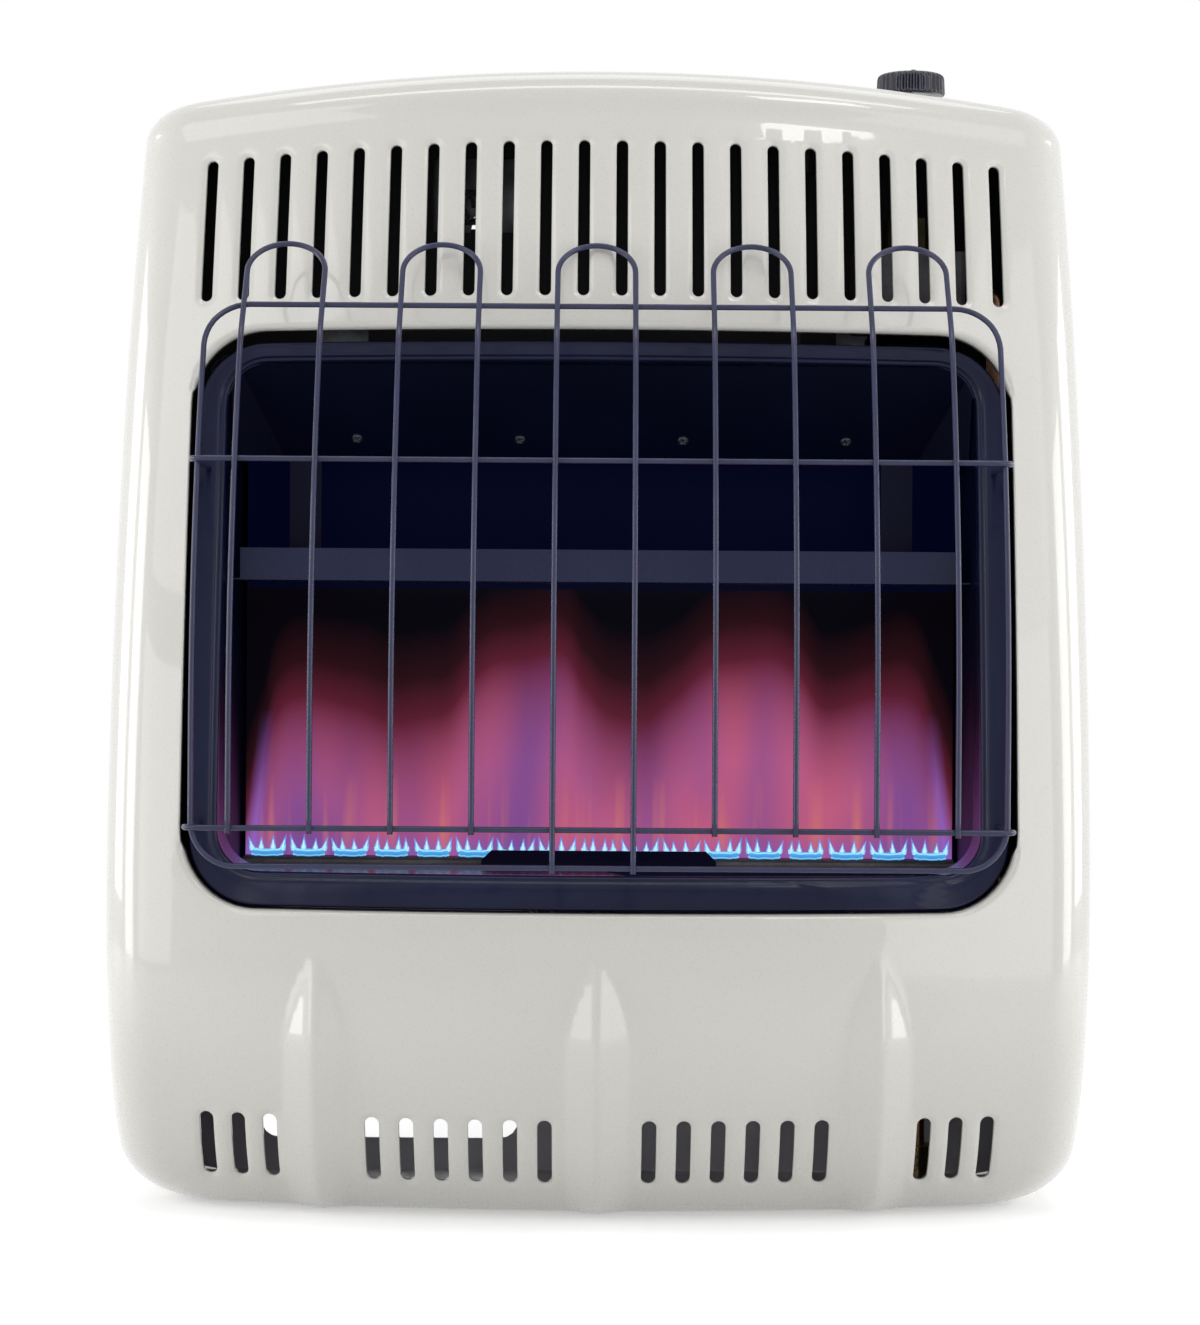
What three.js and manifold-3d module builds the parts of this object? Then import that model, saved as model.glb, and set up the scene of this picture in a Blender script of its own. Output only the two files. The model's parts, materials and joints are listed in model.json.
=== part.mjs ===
// A wall-hung blue flame gas room heater, modelled as the pieces that come off it on a bench.
// Millimetres. X runs from left to right, Z is up and the front faces -Y.
// "Depth" is the distance from the wall, so a point at depth d lies at y = -d.
// The origin is at the middle of the box's underside.
import * as THREE from "three";
import { mergeVertices } from "three/addons/utils/BufferGeometryUtils.js";
import Module from "manifold-3d";

const wasm = await Module();
wasm.setup();

// Sizes of the whole casing.
const CASING_WIDTH = 603;
const CASING_HEIGHT = 707;
const CASING_DEPTH = 250;
const CASING_SHEET = 1;
const BELLY_HEIGHT = 120; // height at which the front stands furthest out
const TOP_SETBACK = 107; // how far the front leans back at the crown
const TUCK_SETBACK = 100; // how far the bottom edge curls back under the belly
const FRONT_BOW = 52; // sagitta of the front from side to side
const SIDE_SWELL = 8.5; // how much the sides draw in at the crown
const SIDE_SWELL_POWER = 1.5;
const SIDE_SWELL_HEIGHT = 220;
const FOOT_SWELL = 9; // how much the sides draw in at the floor
const PLAN_CORNER = 45;
const SHOULDER_RADIUS = 25;
const FOOT_RADIUS = 42;
const TOP_ARCH = 20; // drop of the crown at the sides
const BASE_RIM = 14; // width of the flat rim turned in under the casing

// Fits shared by all pieces.
const FIT_GAP = 0.3; // air between pieces that touch
const CUT_OVERRUN = 12; // how far cutting tools run past what they cut
const PANEL_SHEET = 1;

// Pressed ribs in the lower front.
const RIB_SIDE_MARGIN = 133.5; // outer ribs to the sides
const RIB_WIDTH = 42;
const RIB_HEIGHT = 9;
const RIB_TOP = 162;
const RIB_RUNOUT = 42;

// Window in the front.
const WINDOW_SIDE_MARGIN = 50;
const WINDOW_SILL = 190;
const WINDOW_CROWN_DROP = 166; // window's head below the crown
const WINDOW_CORNER = 45;

// Warm air louvres across the top of the front.
const LOUVRE_COUNT = 22;
const LOUVRE_SIDE_MARGIN = 56.85;
const LOUVRE_WIDTH = 7;
const LOUVRE_LENGTH = 99;
const LOUVRE_MARGIN = 20; // window to the louvres' lower ends

// Air inlet slots under the belly.
const INLET_WIDTH = 8.5;
const INLET_SILL = 24.5;
const INLET_LENGTH = 42;
const INLET_RIB_GAP = 34; // last inner slot to the middle of the outer rib
const INLET_MARGIN = 31; // middle of a rib to the nearest inner slot
const INNER_INLETS = 6;
const SIDE_INLET_END = 66.5; // last slot to the side
const SIDE_INLET_MARGIN = 28;
const SIDE_INLETS = 3;

// Enamelled surround inside the window.
const BEZEL_SETBACK = 15; // behind the casing's face
const BEZEL_SHEET = 1;
const BEZEL_SIDE_GAP = 3.5;
const BEZEL_TOP_GAP = 7.5;
const BEZEL_SILL_GAP = 0.5;
const BEZEL_RETURN = 12;
const LIP_SIDE = 17;
const LIP_TOP = 11.5;
const LIP_SILL = 20.5;
const LIP_FALL = 6; // how far the lip slopes back to its fold

// Firebox.
const FIREBOX_SETBACK = 100; // front edges behind the belly
const FIREBOX_BACK_SHARE = 0.4; // of the depth of its front edges
const FIREBOX_DROP = 25; // floor below the bezel's sill
const SHELF_HEIGHT_SHARE = 0.57; // front bar's foot, as a share of the mouth's height
const SHELF_DEPTH_SHARE = 0.867; // of the depth of the firebox's front edges
const SHELF_BAR = 20;
const SHELF_SIDE_GAP = 6;
const SHELF_AIR_GAP = 14; // open slot behind the shelf
const HOOD_DROP = 57; // hood's lower edge below the bezel's head
const HOOD_BACK_SHARE = 0.6; // hood's upper edge, as a share of the firebox's front
const HOOD_CHEEK = 30; // width of the folded cheek at the hood's lower edge
const HOOD_FLANGE = 14;
const POST_WIDTH = 20;
const POST_DEPTH = 12;
const POST_INSET = 33; // side panel to the post
const HOOD_SCREW_COUNT = 4;
const HOOD_SCREW_MARGIN = 76.5; // outer screws to the bezel's mouth
const HOOD_SCREW_RISE = 14;

// Screws.
const SCREW_HEAD = 8;
const SCREW_HEAD_HEIGHT = 2.6;
const SCREW_SHANK = 4;
const SCREW_LENGTH = 9;
const CASING_SCREW_LOW = 150;
const CASING_SCREW_DROP = 187;

// Chassis and wall bracket.
const BACK_SETBACK = 8; // back panel in front of the wall
const BACK_EDGE_GAP = 0.8;
const TAB_WIDTH = 28;
const TAB_DEPTH = 22;
const REAR_OPENING_SIDE = 79.5;
const REAR_OPENING_WIDTH = 170;
const REAR_OPENING_SILL = 23;
const REAR_OPENING_HEIGHT = 62;
const REAR_OPENING_CORNER = 12;
const PEEP_LEFT = 110;
const PEEP_WIDTH = 54;
const PEEP_MARGIN = 39; // upper rear opening below the crown
const PEEP_HEIGHT = 44;
const HOOK_SPACING = 340;
const HOOK_WIDTH = 30;
const HOOK_DROP = 147;
const HOOK_RISE = 9;
const HOOK_SLOT_HEIGHT = 14;
const BRACKET_WIDTH = 420;
const BRACKET_HEIGHT = 40;
const BRACKET_SHEET = 2;
const BRACKET_HOLE = 6;
const BRACKET_HOLE_SPACING = 406.4;
const PAN_EDGE_GAP = 4;

// Wire guard.
const WIRE = 3.4;
const PIN_SIDE_GAP = 25.9; // ring's side to the outermost leg
const PIN_COUNT = 5;
const PIN_SHIFT = -3.5; // the pins are welded a little left of the middle
const PIN_RISE = 50; // loops above the window
const GUARD_PROUD = 34; // wires in front of the belly of the casing
const GUARD_TOP_GAP = 1.5; // loops of the pins to the casing's face
const GUARD_KNEE_DROP = 9;
const GUARD_KNEE_SETBACK = 17;
const GUARD_BELLY_RISE = 110;
const LOWER_RAIL_RISE = 51;
const UPPER_RAIL_DROP = 85;
const RAIL_BEND = 9;
const RING_SIDE_GAP = 11.5; // lip's edge to the ring
const RING_RISE = 10;
const RING_FOOT_RISE = 29;
const RING_CORNER = 26;
const PIN_TAIL = 3; // stub of a pin below the lower rail
const RAIL_TAIL = 7; // wire behind the lip it hooks through
const HOOK_HOLE_GAP = 0.7;

// Burner and pilot.
const BURNER_END_GAP = 8;
const BURNER_SETBACK = 40; // burner's middle behind the firebox's front
const BURNER_WIDTH = 30;
const BURNER_CORNER = 5;
const BURNER_RISE = 4; // burner's top above the bezel's sill
const BURNER_WALL = 1.5;
const PORT_COUNT = 17;
const PORT_END_MARGIN = 15;
const PORT_GAP = 5;
const PORT_WIDTH = 2.6;
const PORT_ROW_SPACING = 7;
const PORT_FORWARD = 7; // port rows in front of the burner's middle
const MIXER_BORE = 18;
const MIXER_WALL = 1.5;
const MIXER_END_MARGIN = 81; // mixer's mouth to the bezel's mouth
const MIXER_DROP = 34; // mixer's middle below the firebox floor
const MIXER_BEND = 20;
const INJECTOR_HEX = 14;
const INJECTOR_LENGTH = 16;
const INJECTOR_GAP = 0.6; // injector's nose to the mixer's mouth
const INJECTOR_BORE = 3;
const BRACKET_MARGIN = 5;
const SHIELD_LENGTH = 146;
const SHIELD_RISE = 5.5; // shield's top above the burner
const SHIELD_SETBACK = 10;
const SHIELD_LEAN = 9;
const SHIELD_CREST = 6;
const PILOT_OFFSET = 40;
const PILOT_TUBE = 7;
const PILOT_HEIGHT = 20;
const PILOT_SPACING = 11;
const PILOT_BRACKET_HEIGHT = 9;
const PILOT_STUB = 4; // pieces of the pilot reach this far below its bracket's top
const PROBE_WIDTH = 3.2;
const PROBE_HEIGHT = 17;
const SPARK_WIDTH = 5;

// Gas control with its knob, at the right under the crown.
const VALVE_SIDE_MARGIN = 103.5;
const VALVE_DEPTH = 60;
const VALVE_WIDTH = 74;
const VALVE_THICK = 46;
const VALVE_HEIGHT = 50;
const VALVE_DROP = 105; // valve body's top below the crown
const VALVE_CORNER = 6;
const VALVE_BRACKET_SHEET = 2;
const BONNET_WIDTH = 34;
const BONNET_HEIGHT = 22;
const BONNET_WALL = 3;
const ROTOR_HEIGHT = 6;
const STEM_WIDTH = 8;
const STEM_SQUARE = 5.6;
const STEM_CLEARANCE = 0.6;
const STEM_HOLE_CLEARANCE = 3;
const KNOB_WIDTH = 44;
const KNOB_HEIGHT = 14.5;
const KNOB_RISE = 12.5; // knob's top above the crown
const KNOB_FLUTES = 28;
const KNOB_FLUTE_DEPTH = 1.1;
const KNOB_DOME = 2.5;
const KNOB_BEVEL = 2;
const KNOB_TRAVEL = 4;
const KNOB_STEM_SEAT = 5; // cap of the knob over the stem's end

// Igniter beside the knob.
const IGNITER_SPACING = 70; // from the knob
const IGNITER_DEPTH = 42;
const IGNITER_WIDTH = 19;
const IGNITER_HEIGHT = 52;
const IGNITER_BORE = 14;
const IGNITER_BUTTON = 12;
const IGNITER_PROUD = 6;
const IGNITER_SEAT = 14; // button inside the barrel at rest
const IGNITER_TRAVEL = 5;
const IGNITER_NUT = 26;
const IGNITER_NUT_HEIGHT = 4;

// Pipes and leads.
const GAS_PIPE = 10;
const BURNER_PIPE = 8;
const PILOT_PIPE = 5;
const LEAD_WIDTH = 3;
const PIPE_BEND = 14;
const INLET_HEX = 24;
const INLET_HEIGHT = 30;
const INLET_SPIGOT = 18;
const INLET_BORE = 12;
const INLET_SIDE_MARGIN = 97.5;
const INLET_LANE_GAP = 24; // behind the burner's middle
const PIPE_LANE = 22; // pipes run this far outside the firebox
const PORT_SHIFT = 10; // burner's port in front of the knob's axis
const PILOT_LANE_GAP = 12; // behind the burner's middle
const PROBE_LANE_GAP = 9; // in front of the burner's middle
const PILOT_LANE_DROP = 18;
const PROBE_LANE_DROP = 8;
const SPARK_LANE_DROP = 20;
const IGNITER_LEAD_RISE = 14; // lead's run above the firebox
const LEAD_HOLE_GAP = 1;

// Colours and finishes.
const FINISHES = {
  cream: { color: 0xdcdad2, roughness: 0.25, metalness: 0 },
  enamel: { color: 0x14162a, roughness: 0.35, metalness: 0.1 },
  wire: { color: 0x2a2c3e, roughness: 0.4, metalness: 0.2 },
  steel: { color: 0x8f9296, roughness: 0.4, metalness: 0.9 },
  zinc: { color: 0xa9adb2, roughness: 0.35, metalness: 0.9 },
  brass: { color: 0xb08d4a, roughness: 0.35, metalness: 0.9 },
  copper: { color: 0xb06b45, roughness: 0.35, metalness: 0.9 },
  plastic: { color: 0x14161f, roughness: 0.45, metalness: 0 },
  ceramic: { color: 0xe6e2d8, roughness: 0.5, metalness: 0 },
  rubber: { color: 0x2b2b2e, roughness: 0.8, metalness: 0 },
};

// Facets.
const ARC_SIDES = 12; // sides of a full turn on small round pieces
const ARC_STEPS = 2;
const SCREW_SIDES = 8;
const PIPE_SIDES = 8;
const WIRE_SIDES = 6;
const CORNER_STEPS = 4;
const TUCK_STEPS = 7;
const LOOP_STEPS = 5; // points along the sill and head of a rounded loop
const LOOP_SIDE_STEPS = 3;
const LOOP_TURNS = 8; // segments round the loop of a hairpin
const GUARD_LEG_SHARES = [0.4, 0.7];
const SHOULDER_STEPS = 4;
const LEVEL_SHARES = [0.2, 0.45, 0.7, 0.87];
const CROWN_SHARES = [0.66, 0.3];
const RIB_COLUMN_SHARES = [-0.5, -0.24, 0, 0.24, 0.5];
const GAP_COLUMN_SHARES = [0.5];
const CROWN_MIDDLE_SHARE = 0.5;
const FOOT_SHARES = [0, 0.06, 0.25, 0.55, 1];
const SCREW_RIM_SHARE = 0.45;
const HOOD_CHEEK_SHARE = 0.6;
const HOOD_CREASE_SHARE = 0.15;
const REAR_COLUMN_SHARES = [0.75, 0.45, 0, -0.45, -0.75];

// Sizes worked out from the ones above.
const HALF_WIDTH = CASING_WIDTH / 2;
const SHOULDER_START = CASING_HEIGHT - SHOULDER_RADIUS;
const RIB_SPACING = HALF_WIDTH - RIB_SIDE_MARGIN;
const LOUVRE_PITCH = (2 * (HALF_WIDTH - LOUVRE_SIDE_MARGIN)) / (LOUVRE_COUNT - 1);
const INLET_PITCH = (RIB_SPACING - INLET_MARGIN - INLET_RIB_GAP) / (INNER_INLETS - 1);
const SIDE_INLET_START = RIB_SPACING + SIDE_INLET_MARGIN;
const SIDE_INLET_PITCH = (HALF_WIDTH - SIDE_INLET_END - SIDE_INLET_START) / (SIDE_INLETS - 1);
const CASING_SCREW_HIGH = CASING_HEIGHT - CASING_SCREW_DROP;
const REAR_OPENING_LEFT = HALF_WIDTH - REAR_OPENING_SIDE;
const HOOK_HEIGHT = CASING_HEIGHT - HOOK_DROP;
const WINDOW_HALF = HALF_WIDTH - WINDOW_SIDE_MARGIN;
const WINDOW_HEAD = CASING_HEIGHT - WINDOW_CROWN_DROP;
const LIP = {
  half: WINDOW_HALF - BEZEL_SIDE_GAP,
  sill: WINDOW_SILL + BEZEL_SILL_GAP,
  head: WINDOW_HEAD - BEZEL_TOP_GAP,
};
const MOUTH = { half: LIP.half - LIP_SIDE, sill: LIP.sill + LIP_SILL, head: LIP.head - LIP_TOP };
const FLOOR_HEIGHT = MOUTH.sill - FIREBOX_DROP;
const FIREBOX_FRONT = CASING_DEPTH - FIREBOX_SETBACK;
const FIREBOX_BACK = FIREBOX_FRONT * FIREBOX_BACK_SHARE;
const SHELF_DEPTH = FIREBOX_FRONT * SHELF_DEPTH_SHARE;
const SHELF_HEIGHT = SHELF_HEIGHT_SHARE * (MOUTH.head - MOUTH.sill);
const HOOD_BACK = FIREBOX_FRONT * HOOD_BACK_SHARE;
const HOOD_SCREW_SPACING = (2 * (MOUTH.half - HOOD_SCREW_MARGIN)) / (HOOD_SCREW_COUNT - 1);
const BURNER_DEPTH = FIREBOX_FRONT - BURNER_SETBACK;
const BURNER_LENGTH = 2 * (MOUTH.half - BURNER_END_GAP);
const PORT_PITCH = (BURNER_LENGTH - 2 * PORT_END_MARGIN) / (PORT_COUNT - 1);
const PORT_LENGTH = PORT_PITCH - PORT_GAP;
const MIXER_REACH = MOUTH.half - MIXER_END_MARGIN; // from the burner's middle to the mixer's mouth
const SHIELD_DEPTH = FIREBOX_FRONT - SHIELD_SETBACK;
const GUARD_REACH = CASING_DEPTH + GUARD_PROUD;
const GUARD_KNEE_DEPTH = CASING_DEPTH - GUARD_KNEE_SETBACK;
const GUARD_KNEE_HEIGHT = WINDOW_HEAD - GUARD_KNEE_DROP;
const GUARD_BELLY_HEIGHT = WINDOW_SILL + GUARD_BELLY_RISE;
const PIN_TOP = WINDOW_HEAD + PIN_RISE;
const LOWER_RAIL = WINDOW_SILL + LOWER_RAIL_RISE;
const UPPER_RAIL = WINDOW_HEAD - UPPER_RAIL_DROP;
const RING_TOP = WINDOW_HEAD + RING_RISE;
const RING_BOTTOM = WINDOW_SILL + RING_FOOT_RISE;
const RING_HALF_WIDTH = LIP.half - RING_SIDE_GAP;
const PIN_PITCH = (2 * (RING_HALF_WIDTH - PIN_SIDE_GAP)) / (2 * PIN_COUNT - 1);
const VALVE_X = HALF_WIDTH - VALVE_SIDE_MARGIN;
const KNOB_TOP = CASING_HEIGHT + KNOB_RISE;
const IGNITER_X = VALVE_X - IGNITER_SPACING;
const INLET_X = HALF_WIDTH - INLET_SIDE_MARGIN;
const INLET_DEPTH = BURNER_DEPTH - INLET_LANE_GAP;
const PILOT_LANE_DEPTH = BURNER_DEPTH - PILOT_LANE_GAP;
const PROBE_LANE_DEPTH = BURNER_DEPTH + PROBE_LANE_GAP;
const PORT_SETBACK = BURNER_DEPTH - VALVE_DEPTH - PORT_SHIFT; // valve's ports behind the lanes
const PANEL_FACE = BACK_SETBACK + PANEL_SHEET; // front of the back panel
const BURNER_TOP = MOUTH.sill + BURNER_RISE;
const SHELF_TOP = MOUTH.sill + SHELF_HEIGHT + SHELF_BAR;
const HOOD_FOOT = MOUTH.head - HOOD_DROP;
const VALVE_TOP = CASING_HEIGHT - VALVE_DROP;
const HALF_TURN = Math.PI;
const QUARTER_TURN = Math.PI / 2;

const part = new THREE.Group();
part.position.y = GUARD_REACH / 2 + WIRE / 4;

// Adds a piece under its name, from a geometry or a solid.
function addPiece(name, shape, finish) {
  const geometry = shape.isBufferGeometry ? shape : geometryOf(shape);
  const mesh = new THREE.Mesh(geometry, new THREE.MeshStandardMaterial(FINISHES[finish]));
  mesh.name = name;
  part.add(mesh);
}

// Merges the vertices of a closed geometry and drops triangles that have shrunk to a line.
function meshArrays(geometry) {
  const bare = new THREE.BufferGeometry().setAttribute("position", geometry.getAttribute("position"));
  if (geometry.index) bare.setIndex(geometry.index);
  const merged = mergeVertices(bare);
  const corners = merged.index.array;
  const triVerts = [];
  for (let i = 0; i < corners.length; i += 3) {
    const [a, b, c] = [corners[i], corners[i + 1], corners[i + 2]];
    if (a !== b && b !== c && c !== a) triVerts.push(a, b, c);
  }
  return { vertProperties: merged.getAttribute("position").array, triVerts };
}

// Makes a solid from a closed geometry, turned the right way out.
function solid(geometry) {
  const { vertProperties, triVerts } = meshArrays(geometry);
  const mesh = { numProp: 3, vertProperties, triVerts: new Uint32Array(triVerts) };
  const made = new wasm.Manifold(new wasm.Mesh(mesh));
  if (made.volume() >= 0) return made;
  mesh.triVerts.reverse();
  return new wasm.Manifold(new wasm.Mesh(mesh));
}

function geometryOf(made) {
  const mesh = made.getMesh();
  const geometry = new THREE.BufferGeometry();
  geometry.setAttribute("position", new THREE.BufferAttribute(mesh.vertProperties, 3));
  geometry.setIndex(new THREE.BufferAttribute(mesh.triVerts, 1));
  geometry.computeVertexNormals();
  return geometry;
}

function joined(...geometries) {
  return geometries.map(solid).reduce((all, next) => all.add(next));
}

function cut(body, ...tools) {
  return tools.reduce((left, tool) => left.subtract(solid(tool)), body.isBufferGeometry ? solid(body) : body);
}

// A point at x, depth and height.
function at(x, depth, height) {
  return new THREE.Vector3(x, -depth, height);
}

function moved(geometry, x, depth, height) {
  return geometry.translate(x, -depth, height);
}

// Extrudes an outline drawn in x and height, from one depth to another.
function throughDepth(shape, near, far, curveSegments = ARC_STEPS) {
  const options = { depth: far - near, bevelEnabled: false, curveSegments };
  return moved(new THREE.ExtrudeGeometry(shape, options).rotateX(QUARTER_TURN), 0, near, 0);
}

// Extrudes an outline drawn in x and y, from one height to another.
function throughHeight(shape, bottom, top, curveSegments = ARC_STEPS) {
  const options = { depth: top - bottom, bevelEnabled: false, curveSegments };
  return new THREE.ExtrudeGeometry(shape, options).translate(0, 0, bottom);
}

// Extrudes an outline drawn in depth and height, from one x to another.
function throughWidth(shape, left, right, curveSegments = ARC_STEPS) {
  const options = { depth: right - left, bevelEnabled: false, curveSegments };
  const turn = new THREE.Matrix4().makeBasis(at(0, 1, 0), at(0, 0, 1), at(-1, 0, 0));
  return new THREE.ExtrudeGeometry(shape, options).applyMatrix4(turn).translate(right, 0, 0);
}

function outline(points) {
  return new THREE.Shape(points.map(([x, y]) => new THREE.Vector2(x, y)));
}

function box(left, right, near, far, bottom, top) {
  const [width, depth, height] = [right - left, far - near, top - bottom];
  const geometry = new THREE.BoxGeometry(width, depth, height);
  return moved(geometry, left + width / 2, near + depth / 2, bottom + height / 2);
}

function roundedRectangle(left, right, bottom, top, radius) {
  const shape = new THREE.Shape();
  shape.absarc(right - radius, top - radius, radius, 0, QUARTER_TURN);
  shape.absarc(left + radius, top - radius, radius, QUARTER_TURN, HALF_TURN);
  shape.absarc(left + radius, bottom + radius, radius, HALF_TURN, HALF_TURN + QUARTER_TURN);
  shape.absarc(right - radius, bottom + radius, radius, -QUARTER_TURN, 0);
  return shape;
}

function disc(x, y, radius) {
  return new THREE.Shape().absarc(x, y, radius, 0, 2 * HALF_TURN);
}

function polygon(x, y, acrossFlats, sides) {
  const radius = acrossFlats / 2 / Math.cos(HALF_TURN / sides);
  const corners = [...Array(sides).keys()].map((i) => (2 * HALF_TURN * (i + 1 / 2)) / sides);
  return outline(corners.map((angle) => [x + radius * Math.cos(angle), y + radius * Math.sin(angle)]));
}

function cylinder(diameter, bottom, top, x, depth, sides = ARC_SIDES) {
  const geometry = new THREE.CylinderGeometry(diameter / 2, diameter / 2, top - bottom, sides);
  return moved(geometry.rotateX(QUARTER_TURN), x, depth, (top + bottom) / 2);
}

// A bar bent from a strip: the profile is its outer line, in depth and height.
function stripOutline(points, thickness) {
  const line = points.map(([depth, height]) => new THREE.Vector2(depth, height));
  const sides = line.slice(1).map((point, i) => point.clone().sub(line[i]).normalize());
  const inner = line.map((point, i) => {
    const before = sides[Math.max(i - 1, 0)];
    const after = sides[Math.min(i, sides.length - 1)];
    const normal = new THREE.Vector2(-before.y - after.y, before.x + after.x).normalize();
    const reach = thickness / (normal.x * -before.y + normal.y * before.x);
    return point.clone().addScaledVector(normal, reach);
  });
  return new THREE.Shape([...line, ...inner.reverse()]);
}

// A path through given points, with its corners where the points are.
class PointPath extends THREE.Curve {
  constructor(points) {
    super();
    this.points = points;
  }
  getPointAt(share) {
    const place = share * (this.points.length - 1);
    const index = Math.min(Math.floor(place + Number.EPSILON), this.points.length - 2);
    return this.points[index].clone().lerp(this.points[index + 1], place - index);
  }
  getPoint(share) {
    return this.getPointAt(share);
  }
  getTangentAt(share) {
    const index = Math.round(share * (this.points.length - 1));
    const before = this.points[Math.max(index - 1, 0)];
    const here = this.points[index];
    const after = this.points[Math.min(index + 1, this.points.length - 1)];
    const arriving = here.clone().sub(before).normalize();
    const leaving = after.clone().sub(here).normalize();
    return arriving.add(leaving).normalize();
  }
}

// Replaces each inner corner of a route with an arc.
function bentRoute(corners, radius, steps = CORNER_STEPS) {
  const points = [corners[0]];
  for (let i = 1; i < corners.length - 1; i += 1) {
    const toBack = corners[i - 1].clone().sub(corners[i]);
    const toNext = corners[i + 1].clone().sub(corners[i]);
    const reach = Math.min(radius, toBack.length() / 2, toNext.length() / 2);
    const start = corners[i].clone().addScaledVector(toBack.normalize(), reach);
    const end = corners[i].clone().addScaledVector(toNext.normalize(), reach);
    points.push(...new THREE.QuadraticBezierCurve3(start, corners[i], end).getPoints(steps));
  }
  return [...points, corners.at(-1)];
}

function rod(points, diameter, sides = WIRE_SIDES) {
  const section = polygon(0, 0, diameter * Math.cos(HALF_TURN / sides), sides);
  const options = { steps: points.length - 1, extrudePath: new PointPath(points) };
  return new THREE.ExtrudeGeometry(section, options);
}

// Closes a stack of rings, each of as many points, with a fan over each end.
function loft(rings, firstMiddle, lastMiddle) {
  const columns = rings[0].length;
  const points = [firstMiddle, ...rings.flat(), lastMiddle];
  const last = points.length - 1;
  const index = [];
  const ringStart = (ring) => 1 + ring * columns;
  for (let i = 0; i < columns; i += 1) {
    const next = (i + 1) % columns;
    index.push(0, ringStart(0) + next, ringStart(0) + i);
    index.push(last, ringStart(rings.length - 1) + i, ringStart(rings.length - 1) + next);
    for (let ring = 0; ring < rings.length - 1; ring += 1) {
      const [low, high] = [ringStart(ring), ringStart(ring + 1)];
      index.push(low + i, low + next, high + next, low + i, high + next, high + i);
    }
  }
  return new THREE.BufferGeometry().setFromPoints(points).setIndex(index);
}

// Thickens a grid of points into a closed sheet. Each row may close on itself.
function sheet(rows, thickness, closed) {
  const columns = rows[0].length;
  const pick = (row, column) => {
    const index = closed ? (column + columns) % columns : Math.min(Math.max(column, 0), columns - 1);
    return rows[Math.min(Math.max(row, 0), rows.length - 1)][index];
  };
  const normalAt = (row, column) => {
    const here = pick(row, column);
    const sides = [[0, 1], [1, 0], [0, -1], [-1, 0]].map(([down, along]) =>
      pick(row + down, column + along).clone().sub(here),
    );
    const faces = sides.map((side, i) => side.clone().cross(sides[(i + 1) % 4]));
    const whole = faces.filter((face) => face.lengthSq() > Number.EPSILON).map((face) => face.normalize());
    const normal = whole.reduce((sum, face) => sum.add(face), new THREE.Vector3()).normalize();
    const reach = Math.max(...whole.map((face) => 1 / Math.max(normal.dot(face), 1 / 2)));
    return normal.multiplyScalar(thickness * reach);
  };
  const back = rows.map((line, row) => line.map((point, column) => point.clone().sub(normalAt(row, column))));
  const points = [...rows.flat(), ...back.flat()];
  const place = (side, row, column) => (side * rows.length + row) * columns + (column % columns);
  const index = [];
  const quad = (a, b, c, d) => index.push(a, b, c, a, c, d);
  const spans = closed ? columns : columns - 1;
  for (let c = 0; c < spans; c += 1) {
    for (let r = 0; r < rows.length - 1; r += 1) {
      quad(place(0, r, c), place(0, r, c + 1), place(0, r + 1, c + 1), place(0, r + 1, c));
      quad(place(1, r, c), place(1, r + 1, c), place(1, r + 1, c + 1), place(1, r, c + 1));
    }
    const end = rows.length - 1;
    quad(place(0, 0, c), place(1, 0, c), place(1, 0, c + 1), place(0, 0, c + 1));
    quad(place(0, end, c), place(0, end, c + 1), place(1, end, c + 1), place(1, end, c));
  }
  for (let r = 0; r < rows.length - 1 && !closed; r += 1) {
    const end = columns - 1;
    quad(place(0, r, 0), place(0, r + 1, 0), place(1, r + 1, 0), place(1, r, 0));
    quad(place(0, r, end), place(1, r, end), place(1, r + 1, end), place(0, r + 1, end));
  }
  return new THREE.BufferGeometry().setFromPoints(points).setIndex(index);
}

// Half width of the casing at a height, before the shoulder.
function sideAt(height, inset) {
  const above = Math.max(height - SIDE_SWELL_HEIGHT, 0) / (CASING_HEIGHT - SIDE_SWELL_HEIGHT);
  const below = Math.max(SIDE_SWELL_HEIGHT - height, 0) / SIDE_SWELL_HEIGHT;
  const foot = FOOT_RADIUS - inset;
  const rise = Math.max(FOOT_RADIUS - height, 0);
  const tuck = foot - Math.sqrt(Math.max(foot ** 2 - rise ** 2, 0));
  return HALF_WIDTH - inset - SIDE_SWELL * above ** SIDE_SWELL_POWER - FOOT_SWELL * below ** 2 - tuck;
}

// Depth of the middle of the front at a height.
function spineAt(height, inset = 0) {
  if (height >= BELLY_HEIGHT) {
    const share = (height - BELLY_HEIGHT) / (CASING_HEIGHT - BELLY_HEIGHT);
    return CASING_DEPTH - inset - TOP_SETBACK * share ** 2;
  }
  const share = Math.min((BELLY_HEIGHT - height) / (BELLY_HEIGHT - inset), 1);
  const curl = TUCK_SETBACK - inset;
  return CASING_DEPTH - inset - curl * (1 - Math.sqrt(1 - share ** 2));
}

// How far a pressed rib lifts the front at a place.
function ribLift(x, height) {
  const fade = Math.min(Math.max((RIB_TOP - height) / RIB_RUNOUT, 0), 1);
  const offsets = [-RIB_SPACING, 0, RIB_SPACING].map((middle) => Math.abs(x - middle) / (RIB_WIDTH / 2));
  const nearest = Math.min(...offsets, 1);
  return RIB_HEIGHT * Math.sin(fade * QUARTER_TURN) * (1 - nearest ** 2) ** 2;
}

// Depth of the casing's face at a place inside the rounded corners.
function faceAt(x, height, inset = 0) {
  return spineAt(height, inset) - FRONT_BOW * (x / HALF_WIDTH) ** 2 + ribLift(x, height);
}

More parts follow.
